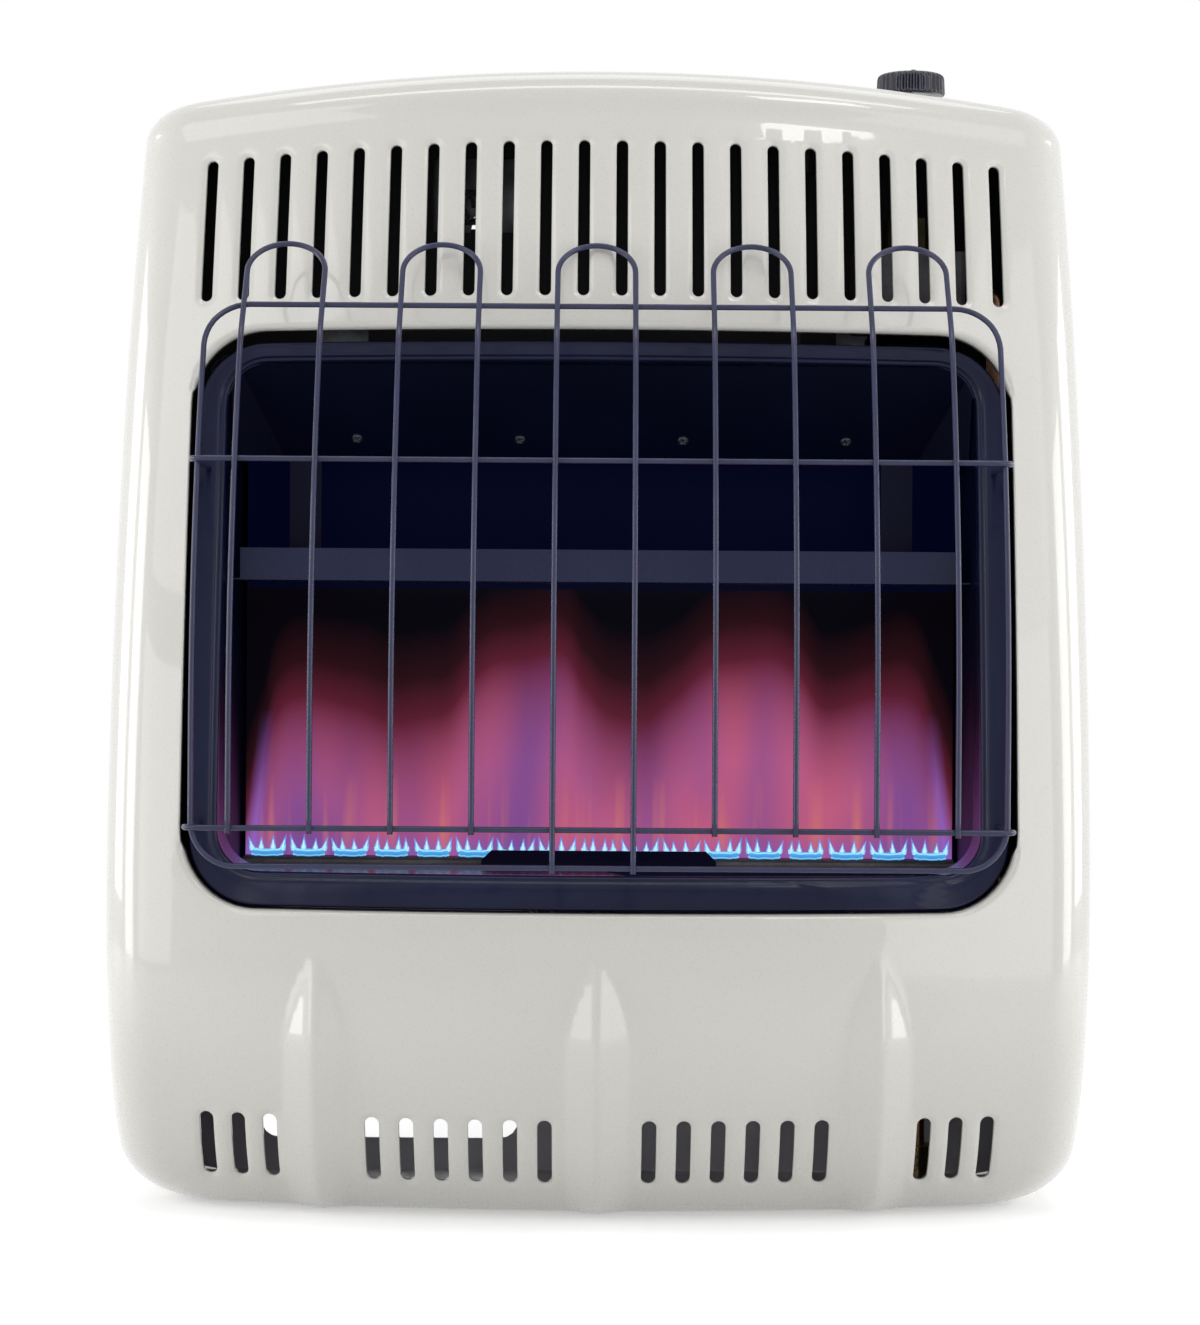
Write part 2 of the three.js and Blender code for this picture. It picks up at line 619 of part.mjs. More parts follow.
// The crown drops towards the sides, and the front follows it above the window.
function arched(point) {
  const share = Math.max(point.z - WINDOW_HEAD, 0) / (CASING_HEIGHT - WINDOW_HEAD);
  const drop = TOP_ARCH * (point.x / HALF_WIDTH) ** 2 * share;
  return new THREE.Vector3(point.x, point.y, point.z - drop);
}

// Places across the front of one level, out to where the rounded corners start.
function frontColumns(reach) {
  const ribs = [-RIB_SPACING, 0, RIB_SPACING].map((middle) =>
    RIB_COLUMN_SHARES.map((share) => middle + share * RIB_WIDTH),
  );
  const ends = [[-reach], ...ribs, [reach]];
  return ends.flatMap((group, i) => {
    if (i === 0) return group;
    const [start, stop] = [ends[i - 1].at(-1), group[0]];
    return [...GAP_COLUMN_SHARES.map((share) => start + (stop - start) * share), ...group];
  });
}

// One level of the casing's outside, from the left rear round the front to the right rear and back.
function casingRing(height, inset, rear, shrink) {
  const [half, corner] = [sideAt(height, inset) - shrink, PLAN_CORNER - inset - shrink];
  let reach = half - corner;
  let angle = QUARTER_TURN;
  for (let pass = 0; pass < CORNER_STEPS; pass += 1) {
    angle = QUARTER_TURN - Math.atan((2 * FRONT_BOW * reach) / HALF_WIDTH ** 2);
    reach = half - corner + corner * Math.cos(angle);
  }
  const cornerDepth = faceAt(reach, height, inset) - shrink - corner * Math.sin(angle);
  const turns = [...Array(CORNER_STEPS).keys()].map((i) => (angle * i) / CORNER_STEPS);
  const arc = turns.map((turn) => [
    half - corner + corner * Math.cos(turn),
    cornerDepth + corner * Math.sin(turn),
  ]);
  const front = frontColumns(reach).map((x) => [x, faceAt(x, height, inset) - shrink]);
  const left = arc.map(([x, depth]) => [-x, depth]);
  const back = REAR_COLUMN_SHARES.map((share) => [share * half, rear]);
  return [[-half, rear], ...left, ...front, ...arc.reverse(), [half, rear], ...back];
}

// The casing's outline as a filled block, drawn in by an inset on every side.
function casingBlock(inset, rear) {
  const levels = [];
  for (let i = 0; i <= TUCK_STEPS; i += 1) {
    const angle = (QUARTER_TURN * i) / TUCK_STEPS;
    levels.push({ height: BELLY_HEIGHT - (BELLY_HEIGHT - inset) * Math.cos(angle), rise: 0, shrink: 0 });
  }
  const marks = [BELLY_HEIGHT + RIB_RUNOUT / 2, RIB_TOP];
  LEVEL_SHARES.forEach((share) => marks.push(RIB_TOP + (SHOULDER_START - RIB_TOP) * share));
  marks.forEach((height) => levels.push({ height, rise: 0, shrink: 0 }));
  const shoulder = SHOULDER_RADIUS - inset;
  for (let i = 0; i <= SHOULDER_STEPS; i += 1) {
    const angle = (QUARTER_TURN * i) / SHOULDER_STEPS;
    const shrink = shoulder * (1 - Math.cos(angle));
    levels.push({ height: SHOULDER_START, rise: shoulder * Math.sin(angle), shrink });
  }
  const rings = levels.map(({ height, rise, shrink }) =>
    casingRing(height, inset, rear, shrink).map(([x, depth]) => at(x, depth, height + rise)),
  );
  const crown = rings.at(-1);
  const middle = at(0, CROWN_MIDDLE_SHARE * spineAt(SHOULDER_START), crown[0].z);
  CROWN_SHARES.forEach((share) => rings.push(crown.map((point) => point.clone().lerp(middle, 1 - share))));
  const base = at(0, CROWN_MIDDLE_SHARE * spineAt(0), rings[0][0].z);
  return solid(loft(rings.map((ring) => ring.map(arched)), base, middle));
}

// A level of the casing without its ribs, for pieces that lie inside it.
function smoothRing(height, inset, rear) {
  return casingRing(height, inset, rear, 0).filter(([x, depth]) => depth <= rear || !ribLift(x, height));
}

// Opening in the casing's underside, inside the turned-in rim.
function baseOpening() {
  const share = 1 - BASE_RIM / sideAt(0, 0);
  const edge = smoothRing(0, 0, -CUT_OVERRUN).map(([x, depth]) => [
    x * share,
    depth - (depth > 0 ? BASE_RIM : 0),
  ]);
  return throughHeight(outline(edge.map(([x, depth]) => [x, -depth])), -CUT_OVERRUN, 2 * CUT_OVERRUN);
}

function capsule(x, bottom, top, width) {
  const radius = width / 2;
  const shape = new THREE.Shape();
  shape.absarc(x, top - radius, radius, 0, HALF_TURN);
  shape.absarc(x, bottom + radius, radius, HALF_TURN, 2 * HALF_TURN);
  return shape;
}

// Cuts through the front only, at the depth where the front stands at that place.
function frontCut(shape, x, height) {
  const face = faceAt(x, height);
  return throughDepth(shape, face - 3 * CUT_OVERRUN, face + 3 * CUT_OVERRUN);
}

function louvreCuts() {
  const bottom = WINDOW_HEAD + LOUVRE_MARGIN;
  return [...Array(LOUVRE_COUNT).keys()].map((i) => {
    const x = (i - (LOUVRE_COUNT - 1) / 2) * LOUVRE_PITCH;
    const low = arched(at(x, 0, bottom)).z;
    const high = arched(at(x, 0, bottom + LOUVRE_LENGTH)).z;
    return frontCut(capsule(x, low, high, LOUVRE_WIDTH), x, (low + high) / 2);
  });
}

function inletCuts() {
  const inner = [...Array(INNER_INLETS).keys()].map((i) => INLET_MARGIN + i * INLET_PITCH);
  const outer = [...Array(SIDE_INLETS).keys()].map((i) => SIDE_INLET_START + i * SIDE_INLET_PITCH);
  return [...inner, ...outer].flatMap((x) => [-x, x]).map((x) => {
    const slot = capsule(x, INLET_SILL, INLET_SILL + INLET_LENGTH, INLET_WIDTH);
    return frontCut(slot, x, INLET_SILL + INLET_LENGTH / 2);
  });
}

// Places of the screws that hold the casing to the chassis, seen from the right.
function casingScrewPlaces() {
  return [CASING_SCREW_LOW, CASING_SCREW_HIGH].flatMap((height) => [
    { side: -1, height },
    { side: 1, height },
  ]);
}

function sideHole({ side, height }, diameter) {
  const hole = new THREE.CylinderGeometry(diameter / 2, diameter / 2, 2 * CUT_OVERRUN + TAB_WIDTH, ARC_SIDES);
  return moved(hole.rotateZ(QUARTER_TURN), side * sideAt(height, 0), PANEL_FACE + TAB_DEPTH / 2, height);
}

function crownHole(x, depth, diameter) {
  const bottom = CASING_HEIGHT - SHOULDER_RADIUS - TOP_ARCH;
  return cylinder(diameter, bottom, CASING_HEIGHT + CUT_OVERRUN, x, depth);
}

function frontCasing() {
  const shell = casingBlock(0, 0).subtract(casingBlock(CASING_SHEET, -CUT_OVERRUN));
  const pane = roundedRectangle(-WINDOW_HALF, WINDOW_HALF, WINDOW_SILL, WINDOW_HEAD, WINDOW_CORNER);
  const middle = (WINDOW_SILL + WINDOW_HEAD) / 2;
  const window = throughDepth(pane, FIREBOX_FRONT, faceAt(0, middle) + TOP_SETBACK, CORNER_STEPS);
  const holes = casingScrewPlaces().map((place) => sideHole(place, SCREW_SHANK + 2 * FIT_GAP));
  holes.push(crownHole(VALVE_X, VALVE_DEPTH, STEM_WIDTH + 2 * STEM_HOLE_CLEARANCE));
  holes.push(crownHole(IGNITER_X, IGNITER_DEPTH, IGNITER_WIDTH + 2 * FIT_GAP));
  return cut(shell, baseOpening(), window, ...louvreCuts(), ...inletCuts(), ...holes);
}

// A rounded rectangle of points about the middle plane, anticlockwise seen from the front.
function roundedLoop(half, sill, head, corner) {
  const spread = (from, to, count) =>
    [...Array(count).keys()].map((i) => from + ((to - from) * (i + 1)) / (count + 1));
  const turn = (x, height, start) => [...Array(CORNER_STEPS + 1).keys()].map((i) => {
    const angle = start + (QUARTER_TURN * i) / CORNER_STEPS;
    return [x + corner * Math.cos(angle), height + corner * Math.sin(angle)];
  });
  return [
    ...spread(-half + corner, half - corner, LOOP_STEPS).map((x) => [x, sill]),
    ...turn(half - corner, sill + corner, -QUARTER_TURN),
    ...spread(sill + corner, head - corner, LOOP_SIDE_STEPS).map((height) => [half, height]),
    ...turn(half - corner, head - corner, 0),
    ...spread(half - corner, -half + corner, LOOP_STEPS).map((x) => [x, head]),
    ...turn(-half + corner, head - corner, QUARTER_TURN),
    ...spread(head - corner, sill + corner, LOOP_SIDE_STEPS).map((height) => [-half, height]),
    ...turn(-half + corner, sill + corner, HALF_TURN),
  ];
}

function lipDepth(x, height) {
  return faceAt(x, height) - BEZEL_SETBACK;
}

// Places where the ends of the guard's rails hook through the lip.
function railEnds() {
  const x = LIP.half - BEZEL_SHEET - WIRE / 2 - HOOK_HOLE_GAP - FIT_GAP;
  return [LOWER_RAIL, UPPER_RAIL].flatMap((height) => [[-x, height], [x, height]]);
}

function windowBezel() {
  const lip = roundedLoop(LIP.half, LIP.sill, LIP.head, WINDOW_CORNER - BEZEL_SIDE_GAP);
  const mouth = roundedLoop(MOUTH.half, MOUTH.sill, MOUTH.head, WINDOW_CORNER - BEZEL_SIDE_GAP - LIP_SIDE);
  const rows = [
    lip.map(([x, height]) => at(x, lipDepth(x, height) - BEZEL_RETURN, height)),
    lip.map(([x, height]) => at(x, lipDepth(x, height), height)),
    mouth.map(([x, height]) => at(x, lipDepth(x, height) - LIP_FALL, height)),
    mouth.map(([x, height]) => at(x, FIREBOX_FRONT, height)),
  ];
  const holes = railEnds().map(([x, height]) => {
    const depth = lipDepth(x, height);
    const hole = disc(x, height, WIRE / 2 + HOOK_HOLE_GAP);
    return throughDepth(hole, depth - RAIL_TAIL, depth + RAIL_TAIL, CORNER_STEPS);
  });
  return cut(sheet(rows, BEZEL_SHEET, true), ...holes);
}

// Depth of the guard's upright wires at a height.
function guardDepth(height) {
  if (height > GUARD_KNEE_HEIGHT) {
    const share = (height - GUARD_KNEE_HEIGHT) / (PIN_TOP - GUARD_KNEE_HEIGHT);
    return GUARD_KNEE_DEPTH + (pinTopDepth() - GUARD_KNEE_DEPTH) * share;
  }
  const share = Math.max(height - GUARD_BELLY_HEIGHT, 0) / (GUARD_KNEE_HEIGHT - GUARD_BELLY_HEIGHT);
  return GUARD_REACH - (GUARD_REACH - GUARD_KNEE_DEPTH) * share ** 2;
}

function pinTopDepth() {
  return faceAt(0, PIN_TOP) + WIRE / 2 + GUARD_TOP_GAP;
}

// One hairpin: two upright legs joined by a loop that leans back onto the casing.
function guardHairpin(index) {
  const middle = PIN_SHIFT + (index - (PIN_COUNT - 1) / 2) * 2 * PIN_PITCH;
  const central = index === (PIN_COUNT - 1) / 2;
  const foot = (central ? RING_BOTTOM : LOWER_RAIL) - PIN_TAIL;
  const radius = PIN_PITCH / 2;
  const [rise, fall] = [PIN_TOP - GUARD_KNEE_HEIGHT, GUARD_KNEE_DEPTH - pinTopDepth()];
  const slope = Math.hypot(rise, fall);
  const loopFoot = PIN_TOP - (radius * rise) / slope;
  const leg = GUARD_LEG_SHARES.map((share) => foot + (UPPER_RAIL - foot) * share);
  const between = (UPPER_RAIL + GUARD_KNEE_HEIGHT) / 2;
  const heights = [foot, ...leg, UPPER_RAIL, between, GUARD_KNEE_HEIGHT, loopFoot];
  const left = heights.map((height) => at(middle - radius, guardDepth(height), height));
  const right = heights.map((height) => at(middle + radius, guardDepth(height), height)).reverse();
  const loop = [...Array(LOOP_TURNS - 1).keys()].map((i) => {
    const angle = HALF_TURN - (HALF_TURN * (i + 1)) / LOOP_TURNS;
    const height = loopFoot + (radius * Math.sin(angle) * rise) / slope;
    return at(middle + radius * Math.cos(angle), guardDepth(height), height);
  });
  return rod([...left, ...loop, ...right], WIRE);
}

function railDepth(height) {
  return guardDepth(height) - WIRE - FIT_GAP;
}

// A rail behind the pins whose ends turn back and hook through the lip.
function guardRail(height) {
  const [, [x]] = railEnds();
  const tail = lipDepth(x, height) - RAIL_TAIL;
  const corners = [at(-x, tail, height), at(-x, railDepth(height), height)];
  corners.push(at(x, railDepth(height), height), at(x, tail, height));
  return rod(bentRoute(corners, RAIL_BEND), WIRE);
}

// The closed ring round the guard. It passes behind the rails at its sides.
function guardRing() {
  const loop = roundedLoop(RING_HALF_WIDTH, RING_BOTTOM, RING_TOP, RING_CORNER);
  const layer = WIRE + FIT_GAP;
  const slope = Math.hypot(1, (GUARD_KNEE_DEPTH - pinTopDepth()) / (PIN_TOP - GUARD_KNEE_HEIGHT));
  const points = loop.map(([x, height]) => {
    const layers = 1 + Math.min((height - RING_BOTTOM) / (RING_CORNER / 2), 1);
    const top = Math.max(height - GUARD_KNEE_HEIGHT, 0) > 0 ? slope : layers;
    return at(x, guardDepth(height) - layer * Math.max(top, 1), height);
  });
  const path = new PointPath([...points, points[0]]);
  return new THREE.TubeGeometry(closedPath(path), points.length, WIRE / 2, WIRE_SIDES, true);
}

// Makes a path's direction run on where its two ends meet.
function closedPath(path) {
  const last = path.points.length - 1;
  path.getTangentAt = (share) => {
    const index = Math.round(share * last) % last;
    const before = path.points[(index + last - 1) % last];
    const [here, after] = [path.points[index], path.points[index + 1]];
    const arriving = here.clone().sub(before).normalize();
    return arriving.add(after.clone().sub(here).normalize()).normalize();
  };
  return path;
}

// Outline of the casing seen from behind, drawn in by an inset.
function rearOutline(inset) {
  const foot = FOOT_SHARES.map((share) => inset + (FOOT_RADIUS - inset) * share);
  const heights = [...foot, SIDE_SWELL_HEIGHT, SHOULDER_START];
  const right = heights.map((height) => at(sideAt(height, inset), 0, height));
  const radius = SHOULDER_RADIUS - inset;
  for (let i = 1; i <= SHOULDER_STEPS; i += 1) {
    const angle = (QUARTER_TURN * i) / SHOULDER_STEPS;
    const x = sideAt(SHOULDER_START, inset) - radius * (1 - Math.cos(angle));
    right.push(at(x, 0, SHOULDER_START + radius * Math.sin(angle)));
  }
  const end = right.at(-1);
  const crown = REAR_COLUMN_SHARES.map((share) => at(share * end.x, 0, end.z));
  const left = right.map((point) => at(-point.x, 0, point.z)).reverse();
  return outline([...right, ...crown, ...left].map(arched).map((point) => [point.x, point.z]));
}

function hookPlaces() {
  return [-HOOK_SPACING / 2, HOOK_SPACING / 2];
}

function chassisBack() {
  const inset = CASING_SHEET + BACK_EDGE_GAP;
  const plate = throughDepth(rearOutline(inset), BACK_SETBACK, PANEL_FACE);
  const tabs = casingScrewPlaces().map(({ side, height }) => {
    const [low, high] = [height - TAB_WIDTH / 2, height + TAB_WIDTH / 2];
    const x = side * Math.min(sideAt(low, inset), sideAt(high, inset));
    const edges = [x, x - side * PANEL_SHEET].sort((a, b) => a - b);
    return box(...edges, BACK_SETBACK, PANEL_FACE + TAB_DEPTH, low, high);
  });
  const panelCut = (shape) => throughDepth(shape, -CUT_OVERRUN, PANEL_FACE + PANEL_SHEET);
  const rear = roundedRectangle(
    -REAR_OPENING_LEFT,
    REAR_OPENING_WIDTH - REAR_OPENING_LEFT,
    REAR_OPENING_SILL,
    REAR_OPENING_SILL + REAR_OPENING_HEIGHT,
    REAR_OPENING_CORNER,
  );
  const peepTop = CASING_HEIGHT - PEEP_MARGIN;
  const behind = PANEL_FACE + PANEL_SHEET;
  const peep = box(-PEEP_LEFT, PEEP_WIDTH - PEEP_LEFT, 0, behind, peepTop - PEEP_HEIGHT, peepTop);
  const slots = hookPlaces().map((x) => {
    const reach = HOOK_WIDTH / 2 + FIT_GAP;
    const top = HOOK_HEIGHT + FIT_GAP;
    return box(x - reach, x + reach, 0, PANEL_FACE + PANEL_SHEET, top - HOOK_SLOT_HEIGHT, top);
  });
  const holes = casingScrewPlaces().map((place) => sideHole(place, SCREW_SHANK + 2 * FIT_GAP));
  return cut(joined(plate, ...tabs), panelCut(rear), peep, ...slots, ...holes);
}

function wallBracket() {
  const middle = HOOK_HEIGHT - BRACKET_SHEET;
  const [bottom, top] = [middle - BRACKET_HEIGHT / 2, middle + BRACKET_HEIGHT / 2];
  const plate = box(-BRACKET_WIDTH / 2, BRACKET_WIDTH / 2, 0, BRACKET_SHEET, bottom, top);
  const tip = PANEL_FACE + BRACKET_SHEET;
  const hooks = hookPlaces().flatMap((x) => [
    box(x - HOOK_WIDTH / 2, x + HOOK_WIDTH / 2, 0, tip + BRACKET_SHEET, middle, HOOK_HEIGHT),
    box(x - HOOK_WIDTH / 2, x + HOOK_WIDTH / 2, tip, tip + BRACKET_SHEET, middle, middle + HOOK_RISE),
  ]);
  const holes = [-BRACKET_HOLE_SPACING / 2, BRACKET_HOLE_SPACING / 2].map((x) =>
    throughDepth(disc(x, middle, BRACKET_HOLE / 2), -CUT_OVERRUN, CUT_OVERRUN, CORNER_STEPS),
  );
  return cut(joined(plate, ...hooks), ...holes);
}

function panTop() {
  return CASING_SHEET + FIT_GAP + PANEL_SHEET;
}

function basePan() {
  const ring = smoothRing(CASING_SHEET, CASING_SHEET + PAN_EDGE_GAP, PANEL_FACE + FIT_GAP);
  const shape = outline(ring.map(([x, depth]) => [x, -depth]));
  const plate = throughHeight(shape, CASING_SHEET + FIT_GAP, panTop());
  return cut(plate, cylinder(INLET_SPIGOT + 2 * FIT_GAP, -CUT_OVERRUN, CUT_OVERRUN, INLET_X, INLET_DEPTH));
}

// A pan-head screw with its head's underside at the origin, turned to face along a direction.
function screw(place, direction, length = SCREW_LENGTH) {
  const profile = [
    [0, -length],
    [SCREW_SHANK / 2, -length],
    [SCREW_SHANK / 2, 0],
    [SCREW_HEAD / 2, 0],
    [SCREW_HEAD / 2, SCREW_HEAD_HEIGHT * SCREW_RIM_SHARE],
    [SCREW_HEAD / 4, SCREW_HEAD_HEIGHT],
    [0, SCREW_HEAD_HEIGHT],
  ].map(([x, y]) => new THREE.Vector2(x, y));
  const turn = new THREE.Quaternion().setFromUnitVectors(new THREE.Vector3(0, 1, 0), direction);
  const head = new THREE.LatheGeometry(profile, SCREW_SIDES).applyQuaternion(turn);
  return head.translate(place.x, place.y, place.z);
}

function screwHole(place, direction) {
  const diameter = SCREW_SHANK + 2 * FIT_GAP;
  const hole = new THREE.CylinderGeometry(diameter / 2, diameter / 2, 2 * CUT_OVERRUN, SCREW_SIDES);
  const turn = new THREE.Quaternion().setFromUnitVectors(new THREE.Vector3(0, 1, 0), direction);
  return hole.applyQuaternion(turn).translate(place.x, place.y, place.z);
}

function casingScrew({ side, height }) {
  const place = at(side * (sideAt(height, 0) + FIT_GAP), PANEL_FACE + TAB_DEPTH / 2, height);
  return screw(place, new THREE.Vector3(side, 0, 0));
}

function fireboxSide(side) {
  const faces = [side * MOUTH.half, side * (MOUTH.half + PANEL_SHEET)].sort((a, b) => a - b);
  return box(...faces, PANEL_FACE + FIT_GAP, FIREBOX_FRONT - FIT_GAP, FLOOR_HEIGHT, MOUTH.head);
}

function fireboxBack() {
  const half = MOUTH.half - FIT_GAP;
  return box(-half, half, FIREBOX_BACK - PANEL_SHEET, FIREBOX_BACK, FLOOR_HEIGHT, MOUTH.head);
}

// Floor of the firebox with its front turned up to the bezel.
function fireboxFloor() {
  const half = MOUTH.half - FIT_GAP;
  const front = FIREBOX_FRONT - FIT_GAP;
  const line = [
    [FIREBOX_BACK + FIT_GAP, FLOOR_HEIGHT],
    [front, FLOOR_HEIGHT],
    [front, MOUTH.sill],
  ];
  const through = [FLOOR_HEIGHT - CUT_OVERRUN, FLOOR_HEIGHT + CUT_OVERRUN];
  const riser = cylinder(MIXER_BORE + 2 * (MIXER_WALL + LEAD_HOLE_GAP), ...through, 0, BURNER_DEPTH);
  const leads = [
    [PILOT_PIPE, pilotX()],
    [LEAD_WIDTH, probeX()],
    [LEAD_WIDTH, sparkX()],
  ].map(([width, x]) => cylinder(width + 2 * LEAD_HOLE_GAP, ...through, x, pilotDepth()));
  return cut(throughWidth(stripOutline(line, PANEL_SHEET), -half, half), riser, ...leads);
}

function shelfBottom() {
  return SHELF_TOP - SHELF_BAR;
}

// Heat shelf over the flames with the bar that shows across the window.
function heatShelf() {
  const half = MOUTH.half - FIT_GAP;
  const [rear, bottom] = [FIREBOX_BACK + SHELF_AIR_GAP, shelfBottom()];
  const plate = box(-half, half, rear, SHELF_DEPTH, bottom, bottom + PANEL_SHEET);
  const barHalf = MOUTH.half - SHELF_SIDE_GAP;
  const bar = box(-barHalf, barHalf, SHELF_DEPTH - PANEL_SHEET, SHELF_DEPTH, bottom, SHELF_TOP);
  return joined(plate, bar);
}

// Post between the shelf and the hood: a channel open to the rear.
function hoodPost(side) {
  const outer = side * (MOUTH.half - POST_INSET);
  const inner = outer - side * POST_WIDTH;
  const edges = [outer, inner].sort((a, b) => a - b);
  const [bottom, top] = [shelfBottom() + PANEL_SHEET + FIT_GAP, HOOD_FOOT - FIT_GAP];
  const [near, far] = [HOOD_BACK - POST_DEPTH, HOOD_BACK];
  const hollow = [edges[0] + PANEL_SHEET, edges[1] - PANEL_SHEET];
  const core = box(...hollow, near - CUT_OVERRUN, far - PANEL_SHEET, bottom - CUT_OVERRUN, top + CUT_OVERRUN);
  return cut(box(...edges, near, far, bottom, top), core);
}

function hoodSlope() {
  return new THREE.Vector2(FIREBOX_FRONT - FIT_GAP - HOOD_BACK, MOUTH.head - HOOD_FOOT);
}

function hoodScrewPlaces() {
  const slope = hoodSlope();
  const share = HOOD_SCREW_RISE / slope.y;
  const middle = (HOOD_SCREW_COUNT - 1) / 2;
  const x = [...Array(HOOD_SCREW_COUNT).keys()].map((i) => (i - middle) * HOOD_SCREW_SPACING);
  return x.map((across) => at(across, HOOD_BACK + slope.x * share, HOOD_FOOT + HOOD_SCREW_RISE));
}

// Direction that the sloping hood faces: forward and down.
function hoodFacing() {
  const slope = hoodSlope().normalize();
  return at(0, slope.y, -slope.x).normalize();
}

// Sloping hood at the head of the firebox, with a folded cheek at each end and a flange at its foot.
function hoodPanel() {
  const half = MOUTH.half - PANEL_SHEET - FIT_GAP;
  const [front, depth] = [FIREBOX_FRONT - FIT_GAP, hoodSlope().x];
  const columns = [
    [half, half, HOOD_BACK + depth * HOOD_CHEEK_SHARE],
    [half - HOOD_CHEEK * HOOD_CREASE_SHARE, half - HOOD_CHEEK, HOOD_BACK],
  ];
  const all = [...columns.map(([top, foot, back]) => [-top, -foot, back]), ...columns.reverse()];
  const rows = [
    all.map(([, foot, back]) => at(foot, back - HOOD_FLANGE, HOOD_FOOT)),
    all.map(([, foot, back]) => at(foot, back, HOOD_FOOT)),
    all.map(([top]) => at(top, front, MOUTH.head - FIT_GAP)),
  ];
  const holes = hoodScrewPlaces().map((place) => screwHole(place, hoodFacing()));
  return cut(sheet(rows, PANEL_SHEET, false), ...holes);
}

function hoodScrew(index) {
  const facing = hoodFacing();
  const place = hoodScrewPlaces()[index].addScaledVector(facing, FIT_GAP);
  return screw(place, facing, SCREW_LENGTH / 2);
}

function floorTop() {
  return FLOOR_HEIGHT + PANEL_SHEET;
}

// Slotted burner: a hollow bar with a row of flame ports along its top and an inlet below.
function burnerBar() {
  const [half, bottom] = [BURNER_LENGTH / 2, floorTop() + FIT_GAP];
  const [near, far] = [BURNER_DEPTH - BURNER_WIDTH / 2, BURNER_DEPTH + BURNER_WIDTH / 2];
  const section = (inset) =>
    roundedRectangle(near + inset, far - inset, bottom + inset, BURNER_TOP - inset, BURNER_CORNER - inset);
  const body = throughWidth(section(0), -half, half);
  const core = throughWidth(section(BURNER_WALL), BURNER_WALL - half, half - BURNER_WALL);
  const ports = [...Array(PORT_COUNT).keys()].flatMap((i) => {
    const x = (i - (PORT_COUNT - 1) / 2) * PORT_PITCH;
    return [-PORT_ROW_SPACING / 2, PORT_ROW_SPACING / 2].map((offset) => {
      const depth = BURNER_DEPTH + PORT_FORWARD + offset;
      const [length, width] = [PORT_LENGTH / 2, PORT_WIDTH / 2];
      const edges = [x - length, x + length, depth - width, depth + width];
      return box(...edges, BURNER_TOP - 2 * BURNER_WALL, BURNER_TOP + BURNER_WALL);
    });
  });
  const inlet = cylinder(MIXER_BORE, bottom - CUT_OVERRUN, bottom + 2 * BURNER_WALL, 0, BURNER_DEPTH);
  return cut(body, core, inlet, ...ports);
}

function mixerHeight() {
  return FLOOR_HEIGHT - MIXER_DROP;
}

// Tube that mixes gas with air and feeds the burner from below.
function mixerTube() {
  const top = floorTop();
  const route = (overrun) => {
    const corners = [
      at(MIXER_REACH + overrun, BURNER_DEPTH, mixerHeight()),
      at(0, BURNER_DEPTH, mixerHeight()),
      at(0, BURNER_DEPTH, top + overrun),
    ];
    return bentRoute(corners, MIXER_BEND);
  };
  const outer = rod(route(0), MIXER_BORE + 2 * MIXER_WALL, ARC_SIDES);
  return cut(outer, rod(route(CUT_OVERRUN), MIXER_BORE, ARC_SIDES));
}

function injectorX() {
  return MIXER_REACH + INJECTOR_GAP;
}

function alongX(shape, left, right) {
  const options = { depth: right - left, bevelEnabled: false, curveSegments: CORNER_STEPS };
  const made = new THREE.ExtrudeGeometry(shape, options);
  return made.rotateX(QUARTER_TURN).rotateZ(QUARTER_TURN).translate(left, 0, 0);
}

// Brass injector: a hex with a fine bore that blows into the mixer.
function injector() {
  const hex = alongX(polygon(0, 0, INJECTOR_HEX, 6), injectorX(), injectorX() + INJECTOR_LENGTH);
  const start = injectorX() - CUT_OVERRUN;
  const bore = alongX(polygon(0, 0, INJECTOR_BORE, 6), start, start + 4 * CUT_OVERRUN);
  return cut(hex, bore).translate(0, -BURNER_DEPTH, mixerHeight());
}

// Bracket under the floor that holds the injector in line with the mixer.
function injectorBracket() {
  const middle = injectorX() + INJECTOR_LENGTH / 2;
  const reach = INJECTOR_HEX / 2 + BRACKET_MARGIN;
  const [near, far] = [BURNER_DEPTH - reach, BURNER_DEPTH + reach];
  const top = FLOOR_HEIGHT - FIT_GAP;
  const plate = box(middle, middle + PANEL_SHEET, near, far, mixerHeight() - reach, top);
  const flange = box(middle, middle + reach, near, far, top - PANEL_SHEET, top);
  const shape = polygon(0, 0, INJECTOR_HEX + 2 * FIT_GAP, 6);
  const hole = alongX(shape, middle - CUT_OVERRUN, middle + CUT_OVERRUN);
  return cut(joined(plate, flange), hole.translate(0, -BURNER_DEPTH, mixerHeight()));
}

function pilotDepth() {
  return BURNER_DEPTH + BURNER_WIDTH / 2 + PILOT_TUBE;
}

function pilotX() {
  return -PILOT_OFFSET;
}

function probeX() {
  return pilotX() + PILOT_SPACING;
}

function sparkX() {
  return pilotX() - PILOT_SPACING;
}

function pilotShelf() {
  return floorTop() + PILOT_BRACKET_HEIGHT;
}

